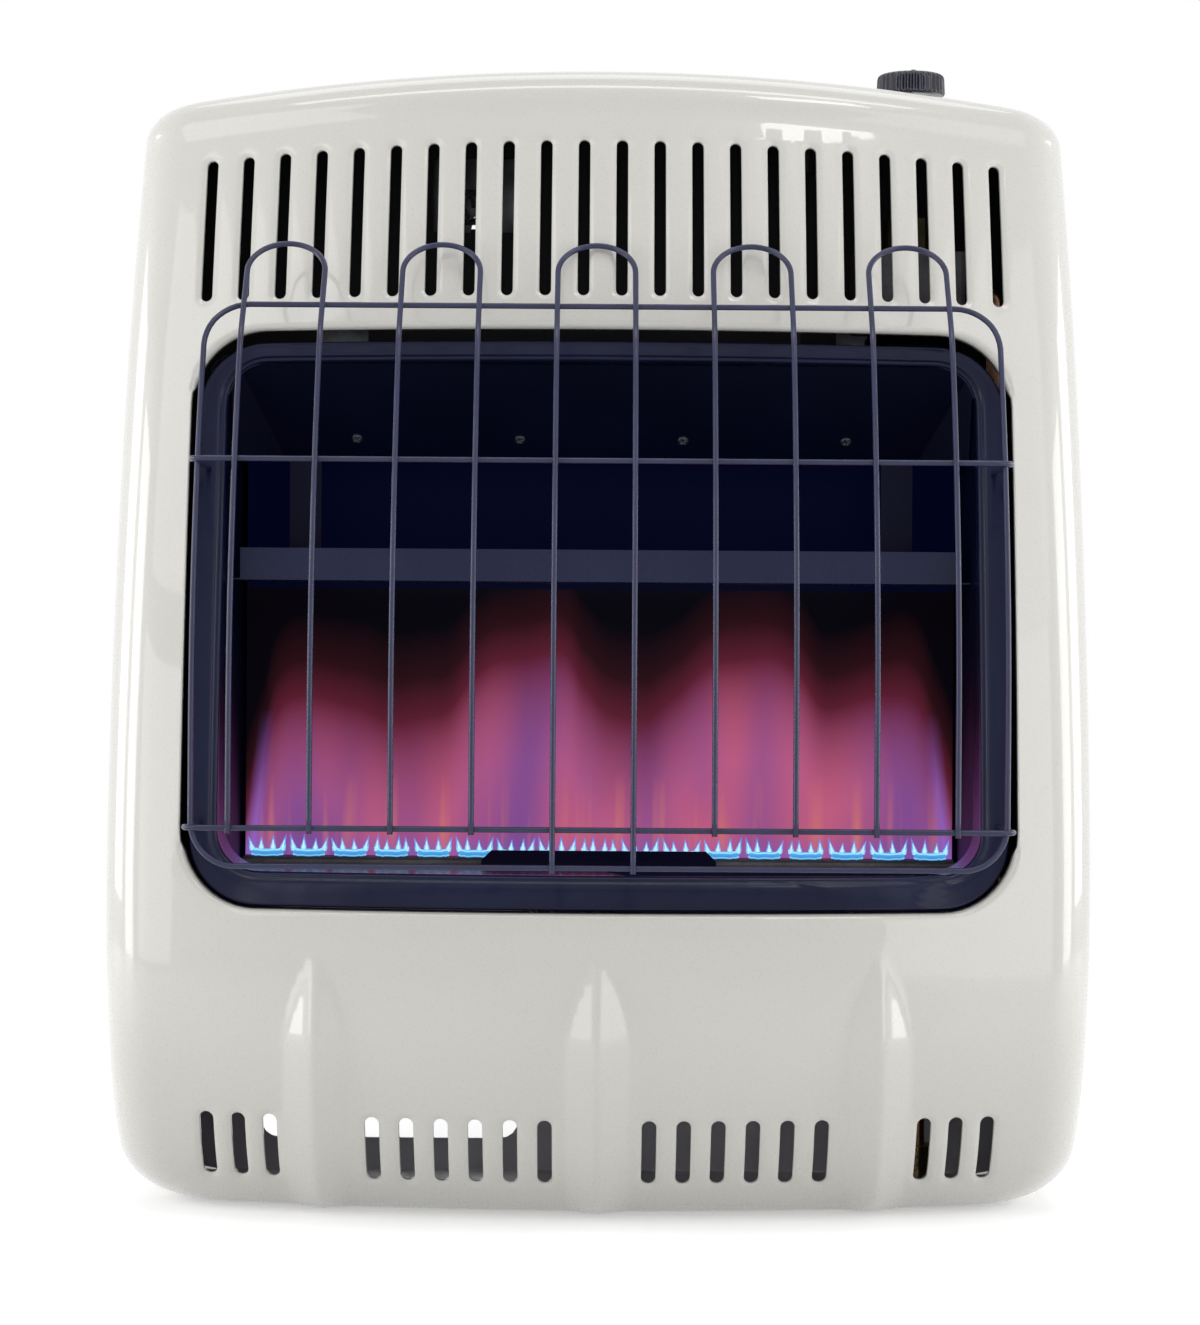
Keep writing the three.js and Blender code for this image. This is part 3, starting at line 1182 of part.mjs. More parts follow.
// Bracket on the floor that carries the pilot, the probe and the spark electrode.
function pilotBracket() {
  const reach = PILOT_SPACING + PILOT_TUBE;
  const far = pilotDepth() + PILOT_TUBE / 2 + PANEL_SHEET + FIT_GAP;
  const line = [
    [far, floorTop() + FIT_GAP],
    [far, pilotShelf()],
    [pilotDepth() - PILOT_TUBE / 2 - PANEL_SHEET, pilotShelf()],
  ];
  const body = throughWidth(stripOutline(line, PANEL_SHEET), pilotX() - reach, pilotX() + reach);
  const through = [pilotShelf() - CUT_OVERRUN / 2, pilotShelf() + CUT_OVERRUN];
  const holes = [
    [PILOT_TUBE, pilotX()],
    [PROBE_WIDTH, probeX()],
    [SPARK_WIDTH, sparkX()],
  ].map(([width, x]) => cylinder(width + 2 * FIT_GAP, ...through, x, pilotDepth()));
  return cut(body, ...holes);
}

// Turns a profile of radius and height into a solid standing at a place.
function turned(profile, x, depth, sides = ARC_SIDES) {
  const points = profile.map(([radius, height]) => new THREE.Vector2(radius, height));
  return moved(new THREE.LatheGeometry(points, sides).rotateX(QUARTER_TURN), x, depth, 0);
}

function pilotBurner() {
  const [foot, top] = [pilotShelf() - PILOT_STUB, pilotShelf() + PILOT_HEIGHT];
  const body = cylinder(PILOT_TUBE, foot, top, pilotX(), pilotDepth());
  return cut(body, cylinder(PILOT_TUBE / 2, top - PILOT_TUBE, top + CUT_OVERRUN, pilotX(), pilotDepth()));
}

function thermocouple() {
  const [foot, top, radius] = [pilotShelf() - PILOT_STUB, pilotShelf() + PROBE_HEIGHT, PROBE_WIDTH / 2];
  const profile = [[0, foot], [radius, foot], [radius, top - radius], [radius / 2, top], [0, top]];
  return turned(profile, probeX(), pilotDepth(), SCREW_SIDES);
}

function sparkElectrode() {
  const [foot, top] = [pilotShelf() - PILOT_STUB, pilotShelf() + PROBE_HEIGHT / 2];
  const [radius, pin] = [SPARK_WIDTH / 2, SPARK_WIDTH / 5];
  const tip = pilotShelf() + PROBE_HEIGHT;
  const profile = [[0, foot], [radius, foot], [radius, top], [pin, top], [pin, tip], [0, tip]];
  return turned(profile, sparkX(), pilotDepth(), SCREW_SIDES);
}

// Sheet cover in front of the pilot, with its crest leaning back over it.
function pilotShield() {
  const half = SHIELD_LENGTH / 2;
  const bend = BURNER_TOP - FIT_GAP;
  const rows = [
    [half, SHIELD_DEPTH, floorTop() + FIT_GAP],
    [half, SHIELD_DEPTH, bend],
    [half - SHIELD_CREST, SHIELD_DEPTH - SHIELD_LEAN, BURNER_TOP + SHIELD_RISE],
  ];
  const mirrored = rows.map(([x, depth, height]) => [at(-x, depth, height), at(x, depth, height)]);
  return sheet(mirrored, PANEL_SHEET, false);
}

function valveBottom() {
  return VALVE_TOP - VALVE_HEIGHT;
}

// Cast body of the gas control.
function valveBody() {
  const [near, far] = [VALVE_DEPTH - VALVE_THICK / 2, VALVE_DEPTH + VALVE_THICK / 2];
  const [left, right] = [VALVE_X - VALVE_WIDTH / 2, VALVE_X + VALVE_WIDTH / 2];
  const plan = roundedRectangle(left, right, -far, -near, VALVE_CORNER);
  const regulator = throughDepth(
    disc(VALVE_X - VALVE_WIDTH / 5, VALVE_TOP - VALVE_HEIGHT / 2, VALVE_HEIGHT / 3),
    far - FIT_GAP,
    far + VALVE_CORNER,
    CORNER_STEPS,
  );
  return joined(throughHeight(plan, valveBottom(), VALVE_TOP), regulator);
}

// Collar on the valve that the stem runs in, open below over the rotor.
function valveBonnet() {
  const bottom = VALVE_TOP + FIT_GAP;
  const top = bottom + BONNET_HEIGHT;
  const body = cylinder(BONNET_WIDTH, bottom, top, VALVE_X, VALVE_DEPTH);
  const room = BONNET_WIDTH - 2 * BONNET_WALL;
  const core = cylinder(room, bottom - CUT_OVERRUN, top - BONNET_WALL, VALVE_X, VALVE_DEPTH);
  const bore = cylinder(STEM_WIDTH + 2 * STEM_CLEARANCE, bottom, top + CUT_OVERRUN, VALVE_X, VALVE_DEPTH);
  return cut(body, core, bore);
}

function rotorTop() {
  return VALVE_TOP + 2 * FIT_GAP + ROTOR_HEIGHT;
}

// Rotor that the stem turns: the stem slides in its square socket.
function valveRotor() {
  const width = BONNET_WIDTH - 2 * BONNET_WALL - 2 * STEM_CLEARANCE;
  const body = cylinder(width, rotorTop() - ROTOR_HEIGHT, rotorTop(), VALVE_X, VALVE_DEPTH);
  const socket = STEM_SQUARE / 2 + STEM_CLEARANCE / 2;
  const edges = [VALVE_X - socket, VALVE_X + socket, VALVE_DEPTH - socket, VALVE_DEPTH + socket];
  return cut(body, box(...edges, VALVE_TOP, rotorTop() + CUT_OVERRUN));
}

function stemFoot() {
  return rotorTop() - ROTOR_HEIGHT + KNOB_TRAVEL + FIT_GAP;
}

function stemTop() {
  return KNOB_TOP - KNOB_STEM_SEAT - FIT_GAP;
}

function valveStem() {
  const neck = rotorTop() + KNOB_TRAVEL + 2 * FIT_GAP;
  const side = STEM_SQUARE / 2;
  const [left, near] = [VALVE_X - side, VALVE_DEPTH - side];
  const square = box(left, left + 2 * side, near, near + 2 * side, stemFoot(), neck + side);
  return joined(cylinder(STEM_WIDTH, neck, stemTop(), VALVE_X, VALVE_DEPTH), square);
}

// Fluted knob with a shallow domed cap and a bore for the stem.
function controlKnob() {
  const radius = KNOB_WIDTH / 2;
  const flutes = [...Array(2 * KNOB_FLUTES).keys()].map((i) => {
    const angle = (HALF_TURN * i) / KNOB_FLUTES;
    const reach = radius - KNOB_BEVEL - (i % 2) * KNOB_FLUTE_DEPTH;
    return [reach * Math.cos(angle), reach * Math.sin(angle)];
  });
  const bevel = { bevelSize: KNOB_BEVEL, bevelThickness: KNOB_DOME, bevelSegments: 1 };
  const options = { depth: KNOB_HEIGHT - 2 * KNOB_DOME, ...bevel };
  const body = new THREE.ExtrudeGeometry(outline(flutes), options);
  const bottom = KNOB_TOP - KNOB_HEIGHT;
  const placed = moved(body, VALVE_X, VALVE_DEPTH, bottom + KNOB_DOME);
  const seat = KNOB_TOP - KNOB_STEM_SEAT;
  const bore = cylinder(STEM_WIDTH + 2 * FIT_GAP, bottom - CUT_OVERRUN, seat, VALVE_X, VALVE_DEPTH);
  return cut(placed, bore);
}

// Shelf bracket from the back panel that carries the gas control.
function valveBracket() {
  const height = valveBottom() - FIT_GAP;
  const line = [
    [VALVE_DEPTH + VALVE_THICK / 2, height],
    [PANEL_FACE + FIT_GAP, height],
    [PANEL_FACE + FIT_GAP, height - VALVE_HEIGHT / 2],
  ];
  const half = VALVE_WIDTH / 3;
  return throughWidth(stripOutline(line, VALVE_BRACKET_SHEET), VALVE_X - half, VALVE_X + half);
}

// Threaded gas inlet on the base pan, open below for the supply line.
function inletFitting() {
  const [seat, top] = [panTop() + FIT_GAP, panTop() + INLET_HEIGHT];
  const hex = throughHeight(polygon(INLET_X, -INLET_DEPTH, INLET_HEX, 6), seat, top);
  const spigot = cylinder(INLET_SPIGOT, FIT_GAP, seat + FIT_GAP, INLET_X, INLET_DEPTH);
  const bore = cylinder(INLET_BORE, -CUT_OVERRUN, top - INLET_HEIGHT / 2, INLET_X, INLET_DEPTH);
  return cut(joined(hex, spigot), bore);
}

function pipeLane() {
  return MOUTH.half + PANEL_SHEET + PIPE_LANE;
}

function valvePort() {
  return [VALVE_X + VALVE_WIDTH / 2 + FIT_GAP, VALVE_TOP - VALVE_HEIGHT / 2];
}

// Route from a port on the valve's right side down the lane beside the firebox.
function laneRoute(depth, ...rest) {
  const [x, height] = valvePort();
  const port = depth - PORT_SETBACK;
  const corners = [at(x, port, height), at(pipeLane(), port, height), ...rest.map((place) => at(...place))];
  return bentRoute(corners, PIPE_BEND);
}

function gasInletTube() {
  const turn = panTop() + INLET_HEIGHT + 2 * PIPE_BEND;
  const route = laneRoute(
    INLET_DEPTH,
    [pipeLane(), INLET_DEPTH, turn],
    [INLET_X, INLET_DEPTH, turn],
    [INLET_X, INLET_DEPTH, panTop() + INLET_HEIGHT + FIT_GAP],
  );
  return rod(route, GAS_PIPE, PIPE_SIDES);
}

function burnerGasTube() {
  const end = injectorX() + INJECTOR_LENGTH + FIT_GAP;
  const corner = [pipeLane(), BURNER_DEPTH, mixerHeight()];
  const route = laneRoute(BURNER_DEPTH, corner, [end, BURNER_DEPTH, mixerHeight()]);
  return rod(route, BURNER_PIPE, PIPE_SIDES);
}

// Route under the floor from a side lane to a point below the pilot bracket.
function underFloor(lane, depth, height, x) {
  const top = pilotShelf() - PILOT_STUB - FIT_GAP;
  const turn = Math.sign(lane) * (Math.abs(lane) - 2 * PIPE_BEND);
  return [
    [lane, depth, height],
    [turn, pilotDepth(), height],
    [x, pilotDepth(), height],
    [x, pilotDepth(), top],
  ];
}

function pilotGasTube() {
  const height = FLOOR_HEIGHT - PILOT_LANE_DROP;
  const turns = underFloor(pipeLane(), PILOT_LANE_DEPTH, height, pilotX());
  return rod(laneRoute(PILOT_LANE_DEPTH, ...turns), PILOT_PIPE);
}

function thermocoupleLead() {
  const height = FLOOR_HEIGHT - PROBE_LANE_DROP;
  const turns = underFloor(pipeLane(), PROBE_LANE_DEPTH, height, probeX());
  return rod(laneRoute(PROBE_LANE_DEPTH, ...turns), LEAD_WIDTH);
}

function igniterLead() {
  const run = MOUTH.head + IGNITER_LEAD_RISE;
  const height = FLOOR_HEIGHT - SPARK_LANE_DROP;
  const corners = [
    at(IGNITER_X, IGNITER_DEPTH, igniterFoot() - FIT_GAP),
    at(IGNITER_X, IGNITER_DEPTH, run),
    at(-pipeLane(), IGNITER_DEPTH, run),
    ...underFloor(-pipeLane(), IGNITER_DEPTH, height, sparkX()).map((place) => at(...place)),
  ];
  return rod(bentRoute(corners, PIPE_BEND), LEAD_WIDTH);
}

function nutSeat() {
  return arched(at(IGNITER_X - IGNITER_NUT / 2, 0, CASING_HEIGHT)).z + FIT_GAP;
}

function igniterTop() {
  return nutSeat() + IGNITER_NUT_HEIGHT + FIT_GAP;
}

function igniterFoot() {
  return igniterTop() - IGNITER_HEIGHT;
}

// Piezo igniter with a shoulder that seats under the crown.
function igniterBody() {
  const shoulder = arched(at(IGNITER_X + IGNITER_NUT / 2, 0, CASING_HEIGHT)).z - CASING_SHEET - 2 * FIT_GAP;
  const barrel = cylinder(IGNITER_WIDTH, igniterFoot(), igniterTop(), IGNITER_X, IGNITER_DEPTH);
  const collar = cylinder(IGNITER_NUT, shoulder - IGNITER_NUT_HEIGHT, shoulder, IGNITER_X, IGNITER_DEPTH);
  const depth = IGNITER_SEAT + IGNITER_TRAVEL + FIT_GAP;
  const top = igniterTop();
  const bore = cylinder(IGNITER_BORE, top - depth, top + CUT_OVERRUN, IGNITER_X, IGNITER_DEPTH);
  return cut(joined(barrel, collar), bore);
}

function igniterNut() {
  const shape = polygon(IGNITER_X, -IGNITER_DEPTH, IGNITER_NUT, 6);
  const hex = throughHeight(shape, nutSeat(), nutSeat() + IGNITER_NUT_HEIGHT);
  return cut(hex, cylinder(IGNITER_WIDTH + 2 * FIT_GAP, 0, 2 * CASING_HEIGHT, IGNITER_X, IGNITER_DEPTH));
}

function igniterButton() {
  const [foot, top] = [igniterTop() - IGNITER_SEAT, igniterTop() + IGNITER_PROUD];
  const radius = IGNITER_BUTTON / 2;
  const bevel = FIT_GAP * 3;
  const profile = [[0, foot], [radius, foot], [radius, top - bevel], [radius - bevel, top], [0, top]];
  return turned(profile, IGNITER_X, IGNITER_DEPTH);
}

addPiece("front_casing", frontCasing(), "cream");
addPiece("chassis_back", chassisBack(), "enamel");
addPiece("wall_bracket", wallBracket(), "zinc");
addPiece("base_pan", basePan(), "enamel");
casingScrewPlaces().forEach((place, i) => addPiece(`casing_screw_${i + 1}`, casingScrew(place), "zinc"));
addPiece("window_bezel", windowBezel(), "enamel");
addPiece("guard_ring", guardRing(), "wire");
addPiece("guard_lower_rail", guardRail(LOWER_RAIL), "wire");
addPiece("guard_upper_rail", guardRail(UPPER_RAIL), "wire");
for (let i = 0; i < PIN_COUNT; i += 1) addPiece(`guard_hairpin_${i + 1}`, guardHairpin(i), "wire");
addPiece("firebox_back", fireboxBack(), "enamel");
addPiece("firebox_left", fireboxSide(-1), "enamel");
addPiece("firebox_right", fireboxSide(1), "enamel");
addPiece("firebox_floor", fireboxFloor(), "enamel");
addPiece("heat_shelf", heatShelf(), "enamel");
addPiece("hood_post_left", hoodPost(-1), "enamel");
addPiece("hood_post_right", hoodPost(1), "enamel");
addPiece("hood_panel", hoodPanel(), "enamel");
hoodScrewPlaces().forEach((place, i) => addPiece(`hood_screw_${i + 1}`, hoodScrew(i), "steel"));
addPiece("burner_bar", burnerBar(), "steel");
addPiece("mixer_tube", mixerTube(), "steel");
addPiece("injector", injector(), "brass");
addPiece("injector_bracket", injectorBracket(), "zinc");
addPiece("pilot_bracket", pilotBracket(), "zinc");
addPiece("pilot_burner", pilotBurner(), "brass");
addPiece("thermocouple", thermocouple(), "steel");
addPiece("spark_electrode", sparkElectrode(), "ceramic");
addPiece("pilot_shield", pilotShield(), "enamel");
addPiece("gas_valve_body", valveBody(), "zinc");
addPiece("valve_bonnet", valveBonnet(), "brass");
addPiece("valve_rotor", valveRotor(), "brass");
addPiece("valve_stem", valveStem(), "steel");
addPiece("control_knob", controlKnob(), "plastic");
addPiece("valve_bracket", valveBracket(), "zinc");
addPiece("inlet_fitting", inletFitting(), "brass");
addPiece("gas_inlet_tube", gasInletTube(), "zinc");
addPiece("burner_gas_tube", burnerGasTube(), "zinc");
addPiece("pilot_gas_tube", pilotGasTube(), "zinc");
addPiece("thermocouple_lead", thermocoupleLead(), "copper");
addPiece("igniter_body", igniterBody(), "plastic");
addPiece("igniter_nut", igniterNut(), "zinc");
addPiece("igniter_button", igniterButton(), "plastic");
addPiece("igniter_lead", igniterLead(), "rubber");

export default part;
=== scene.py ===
import json
from math import atan, copysign, cos, dist, hypot, pi, radians, sin, sqrt, tan

import bpy
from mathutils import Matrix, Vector
from mathutils.geometry import delaunay_2d_cdt


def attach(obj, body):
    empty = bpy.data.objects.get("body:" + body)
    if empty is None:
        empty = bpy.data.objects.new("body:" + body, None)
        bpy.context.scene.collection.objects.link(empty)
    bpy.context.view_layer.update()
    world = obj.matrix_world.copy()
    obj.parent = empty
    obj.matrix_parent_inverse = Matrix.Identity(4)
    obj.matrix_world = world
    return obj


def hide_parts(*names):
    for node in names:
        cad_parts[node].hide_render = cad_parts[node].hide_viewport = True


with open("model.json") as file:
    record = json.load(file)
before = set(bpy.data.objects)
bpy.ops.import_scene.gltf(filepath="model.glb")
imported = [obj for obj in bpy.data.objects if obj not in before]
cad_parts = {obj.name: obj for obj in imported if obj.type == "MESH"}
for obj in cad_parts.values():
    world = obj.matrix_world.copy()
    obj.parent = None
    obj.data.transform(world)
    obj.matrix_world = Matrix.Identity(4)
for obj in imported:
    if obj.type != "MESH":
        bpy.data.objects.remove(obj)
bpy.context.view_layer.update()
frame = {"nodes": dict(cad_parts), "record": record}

MM = 0.001
WALL_Y = 0.14285  # the wall plane, where every depth starts

# Sizes of the casing, in millimetres, as in the part's source.
HALF_WIDTH = 301.5
CASING_HEIGHT = 707
CASING_DEPTH = 250
BELLY_HEIGHT = 120
TOP_SETBACK = 107
TUCK_SETBACK = 100
FRONT_BOW = 52
SIDE_SWELL = 8.5
SWELL_POWER = 1.5
SWELL_HEIGHT = 220
FOOT_SWELL = 9
PLAN_CORNER = 45
SHOULDER = 25
SHOULDER_START = CASING_HEIGHT - SHOULDER
FOOT_RADIUS = 42
TOP_ARCH = 20
BASE_RIM = 14
RIB_SPACING = 168
RIB_WIDTH = 42
RIB_HEIGHT = 9
RIB_TOP = 162
RIB_RUNOUT = 60
RIB_SLOPE = 0.52
RIB_CREST = 2.2  # radius of the crest
RIB_FADE = 0.8  # how softly the flanks run out
RIB_TRIM = 0.12
RIB_LIMIT = -1.2
RIB_MIDDLES = (-RIB_SPACING, 0, RIB_SPACING)
WINDOW_HALF = 251.5
WINDOW_SILL = 190
WINDOW_HEAD = 541
WINDOW_CORNER = 45
KNOB = (198, 60)  # x and depth of the axis
IGNITER = (128, 42)
CROWN_HOLES = ((*KNOB, 7), (*IGNITER, 9.8))
SHEET = 0.001  # metres


def place(x, depth, height):
    return Vector((x * MM, WALL_Y - depth * MM, height * MM))


def circle(count):
    """The cosine and sine of each even step round a circle."""
    return [(cos(2 * pi * k / count), sin(2 * pi * k / count)) for k in range(count)]


# ---- casing surface ----

def side_at(height):
    above = max(height - SWELL_HEIGHT, 0) / (CASING_HEIGHT - SWELL_HEIGHT)
    below = max(SWELL_HEIGHT - height, 0) / SWELL_HEIGHT
    rise = max(FOOT_RADIUS - height, 0)
    tuck = FOOT_RADIUS - sqrt(max(FOOT_RADIUS ** 2 - rise ** 2, 0))
    return HALF_WIDTH - SIDE_SWELL * above ** SWELL_POWER - FOOT_SWELL * below ** 2 - tuck


def spine_at(height):
    if height >= BELLY_HEIGHT:
        return CASING_DEPTH - TOP_SETBACK * ((height - BELLY_HEIGHT) / (CASING_HEIGHT - BELLY_HEIGHT)) ** 2
    share = min((BELLY_HEIGHT - height) / BELLY_HEIGHT, 1)
    return CASING_DEPTH - TUCK_SETBACK * (1 - sqrt(1 - share ** 2))


def rib_lift(x, height):
    """A pressed rib: two flanks that meet in a small crest, and a pointed head."""
    run = min(max((RIB_TOP - height) / RIB_RUNOUT, 0), 1)
    crest = RIB_HEIGHT * (1 - (1 - run) ** 2)
    nearest = min(abs(x - middle) for middle in RIB_MIDDLES)
    if nearest > RIB_WIDTH / 2 or run == 0:
        return 0
    over = crest - RIB_SLOPE * (hypot(nearest, RIB_CREST) - RIB_CREST)
    rounded = (over + hypot(over, RIB_FADE)) / 2
    return max(min(rounded, crest) - RIB_TRIM, 0) if over > RIB_LIMIT else 0


def smooth_face(x, height):
    return spine_at(height) - FRONT_BOW * (x / HALF_WIDTH) ** 2


def face_at(x, height):
    return smooth_face(x, height) + rib_lift(x, height)


def arch_drop(x, height):
    share = max(height - WINDOW_HEAD, 0) / (CASING_HEIGHT - WINDOW_HEAD)
    return TOP_ARCH * (x / HALF_WIDTH) ** 2 * share


# The casing is unrolled: u runs across the front, round the corner and along the side,
# and v runs up and over the shoulder.
U_FLAT = 250
U_BOW = U_FLAT + 16
U_CORNER = U_BOW + 58
U_REAR = U_CORNER + 160
V_TOP = SHOULDER_START + SHOULDER * pi / 2
_levels = {}


def level(v):
    """Height, rise, inward shift and corner of the casing's ring at v."""
    key = round(v, 4)
    if key not in _levels:
        turn = max(v - SHOULDER_START, 0) / SHOULDER
        height = min(v, SHOULDER_START)
        shrink, rise = SHOULDER * (1 - cos(turn)), SHOULDER * sin(turn)
        half, corner = side_at(height) - shrink, PLAN_CORNER - shrink
        reach = half - corner
        for _ in range(6):
            angle = pi / 2 - atan(2 * FRONT_BOW * reach / HALF_WIDTH ** 2)
            reach = half - corner + corner * cos(angle)
        depth = face_at(reach, height) - shrink - corner * sin(angle)
        _levels[key] = (height, rise, shrink, half, corner, reach, angle, depth)
    return _levels[key]


def casing_point(u, v):
    height, rise, shrink, half, corner, reach, angle, corner_depth = level(v)
    sign, a = (-1 if u < 0 else 1), abs(u)
    flat = min(U_FLAT, reach - 2)
    if a <= U_BOW:
        x = a * flat / U_FLAT if a <= U_FLAT else flat + (reach - flat) * (a - U_FLAT) / (U_BOW - U_FLAT)
        depth = face_at(x, height) - shrink
    elif a <= U_CORNER:
        turn = angle * (1 - (a - U_BOW) / (U_CORNER - U_BOW))
        x = half - corner + corner * cos(turn)
        depth = corner_depth + corner * sin(turn)
    else:
        x = half
        depth = corner_depth * (1 - (a - U_CORNER) / (U_REAR - U_CORNER))
    top = height + rise
    return place(sign * x, depth, top - arch_drop(x, top))


def casing_normal(u, v):
    step = 0.5
    across = casing_point(u + step, v) - casing_point(u - step, v)
    low, high = max(v - step, 0), min(v + step, V_TOP)
    return across.cross(casing_point(u, high) - casing_point(u, low)).normalized()


# ---- holes ----

def capsule_gap(x, z, hole):
    """Distance outside a capsule slot, below zero within it."""
    middle, low, high, width = hole
    radius = width / 2
    nearest = min(max(z, low + radius), high - radius)
    return hypot(x - middle, z - nearest) - radius


def capsule_loop(hole, out, count=10):
    middle, low, high, width = hole
    radius = width / 2 + out
    foot, head = low + width / 2, high - width / 2
    turns = [pi * i / count for i in range(count + 1)]
    arc = [(radius * cos(turn), radius * sin(turn)) for turn in turns]
    steps = max(round((head - foot) / 6), 2)
    points = [(middle + x, head + z) for x, z in arc]
    points += [(middle - radius, head + (foot - head) * i / steps) for i in range(1, steps)]
    points += [(middle - x, foot - z) for x, z in arc]
    points += [(middle + radius, foot + (head - foot) * i / steps) for i in range(1, steps)]
    return points


def window_gap(x, z):
    """Distance outside the window, below zero within it."""
    left, right, low, high = grown(WINDOW_BOX, -WINDOW_CORNER)
    dx, dz = max(left - x, x - right), max(low - z, z - high)
    return (hypot(dx, dz) if dx > 0 and dz > 0 else max(dx, dz)) - WINDOW_CORNER


def rounded_loop(box, corner, pitch=6, count=12):
    """Points round a rounded rectangle, anticlockwise from its lower right corner."""
    left, right, low, high = grown(box, -corner)
    arcs = []
    for quarter, (x, z) in enumerate(((right, low), (right, high), (left, high), (left, low)), -1):
        turns = [pi / 2 * (quarter + j / count) for j in range(count + 1)]
        arcs.append([(x + corner * cos(turn), z + corner * sin(turn)) for turn in turns])
    points = []
    for arc, following in zip(arcs, arcs[1:] + arcs[:1]):
        (x, z), stop = arc[-1], following[0]
        steps = max(round(dist(arc[-1], stop) / pitch), 2)
        points += arc
        points += [(x + (stop[0] - x) * j / steps, z + (stop[1] - z) * j / steps) for j in range(1, steps)]
    return points


def grown(box, out):
    return (box[0] - out, box[1] + out, box[2] - out, box[3] + out)


# Louvres and inlets are upright slots: the middle's x, the lowest and highest z, and the width.
LOUVRE_COUNT, LOUVRE_PITCH, LOUVRE_WIDTH = 22, 23.3, 7
LOUVRE_FOOT, LOUVRE_HEAD = 561, 660
LOUVRES = []
for i in range(LOUVRE_COUNT):
    middle = (i - (LOUVRE_COUNT - 1) / 2) * LOUVRE_PITCH
    ends = [height - arch_drop(middle, height) for height in (LOUVRE_FOOT, LOUVRE_HEAD)]
    LOUVRES.append((middle, *ends, LOUVRE_WIDTH))
INLET_GROUPS = ((31, 20.6, 6), (RIB_SPACING + 28, 19.5, 3))  # first x, pitch and count, on each side
INLET_FOOT, INLET_HEAD, INLET_WIDTH = 24.5, 66.5, 8.5
INLETS = []
for first, pitch, count in INLET_GROUPS:
    for i in range(count):
        x = first + i * pitch
        INLETS += [(middle, INLET_FOOT, INLET_HEAD, INLET_WIDTH) for middle in (-x, x)]
SLOTS = LOUVRES + INLETS
SLOT_REACH = 12
SLOT_RIM = 4.2
SLOT_EDGE = 0.9
SLOT_SINK = 0.95
SLOT_LOOPS = (0, 0.2, 0.5, SLOT_EDGE, 1.6, 2.6, SLOT_RIM)
WINDOW_BOX = (-WINDOW_HALF, WINDOW_HALF, WINDOW_SILL, WINDOW_HEAD)
WINDOW_RIM = 4
WINDOW_LOOPS = (0, 0.6, 1.6, 2.8, WINDOW_RIM)
WINDOW_TURN, SLOT_TURN = Vector((0, 0.009, 0)), 0.0012  # how far their edges turn inwards, in metres


def unarch(x, z):
    """The height in the unarched casing of a point seen at height z."""
    if z <= WINDOW_HEAD:
        return z
    rate = TOP_ARCH * (x / HALF_WIDTH) ** 2 / (CASING_HEIGHT - WINDOW_HEAD)
    return (z - rate * WINDOW_HEAD) / (1 - rate)


def rim_push(gap, rim):
    return 0 if gap >= rim else rim - sqrt(max(rim ** 2 - (rim - gap) ** 2, 0))


def slot_push(gap):
    """How far the sheet sinks at a gap from a slot: a shallow pressed border with a rolled edge."""
    if gap >= SLOT_RIM:
        return 0
    share = (SLOT_RIM - gap) / (SLOT_RIM - SLOT_EDGE)
    return SLOT_SINK * min(share, 1) ** 2 + rim_push(gap, SLOT_EDGE)


def steps_between(start, stop, pitch):
    count = max(round((stop - start) / pitch), 1)
    return [start + (stop - start) * i / count for i in range(count)]


def triangulate(points, loops, keep):
    """Delaunay triangles over points and closed loops, where keep says so of a triangle's middle."""
    edges = []
    flat = list(points)
    for loop in loops:
        start = len(flat)
        flat += loop
        edges += [(start + i, start + (i + 1) % len(loop)) for i in range(len(loop))]
    verts, _, faces, *_ = delaunay_2d_cdt([Vector(p) for p in flat], edges, [], 0, 1e-4)
    kept = []
    for face in faces:
        cx = sum(verts[i][0] for i in face) / len(face)
        cz = sum(verts[i][1] for i in face) / len(face)
        if keep(cx, cz):
            a, b, c = (verts[i] for i in face)
            turn = (b[0] - a[0]) * (c[1] - a[1]) - (b[1] - a[1]) * (c[0] - a[0])
            kept.append(tuple(face) if turn > 0 else tuple(reversed(face)))
    return [tuple(v) for v in verts], kept


# ---- pieces ----

def add_object(name, data):
    made = bpy.data.objects.new(name, data)
    bpy.context.scene.collection.objects.link(made)
    return made


def new_piece(name, verts, faces, material, slot, replaced=(), body="heater", smooth=True):
    mesh = bpy.data.meshes.new(name)
    mesh.from_pydata([tuple(v) for v in verts], [], faces)
    mesh.validate()
    mesh.update()
    piece = add_object(name, mesh)
    mesh.materials.append(material)
    if smooth:
        mesh.polygons.foreach_set("use_smooth", [True] * len(mesh.polygons))
    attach(piece, body)
    if replaced:
        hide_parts(*replaced)
    return piece


def thicken(piece, thickness, lining=None):
    """Gives a sheet its thickness and a lining, and applies the modifiers."""
    shell = piece.modifiers.new("thickness", "SOLIDIFY")
    shell.thickness, shell.offset = thickness, -1
    if lining:
        piece.data.materials.append(lining)
        shell.material_offset = 1
    seen = piece.evaluated_get(bpy.context.evaluated_depsgraph_get())
    made = bpy.data.meshes.new_from_object(seen)
    piece.modifiers.clear()
    piece.data = made


def strip(rows, closed=False):
    """Vertices and faces of a grid of rows of the same length."""
    width = len(rows[0])
    verts = [p for row in rows for p in row]
    faces = []
    for r in range(len(rows) - 1):
        for i in range(width if closed else width - 1):
            j = (i + 1) % width
            faces.append((r * width + i, r * width + j, (r + 1) * width + j, (r + 1) * width + i))
    return verts, faces


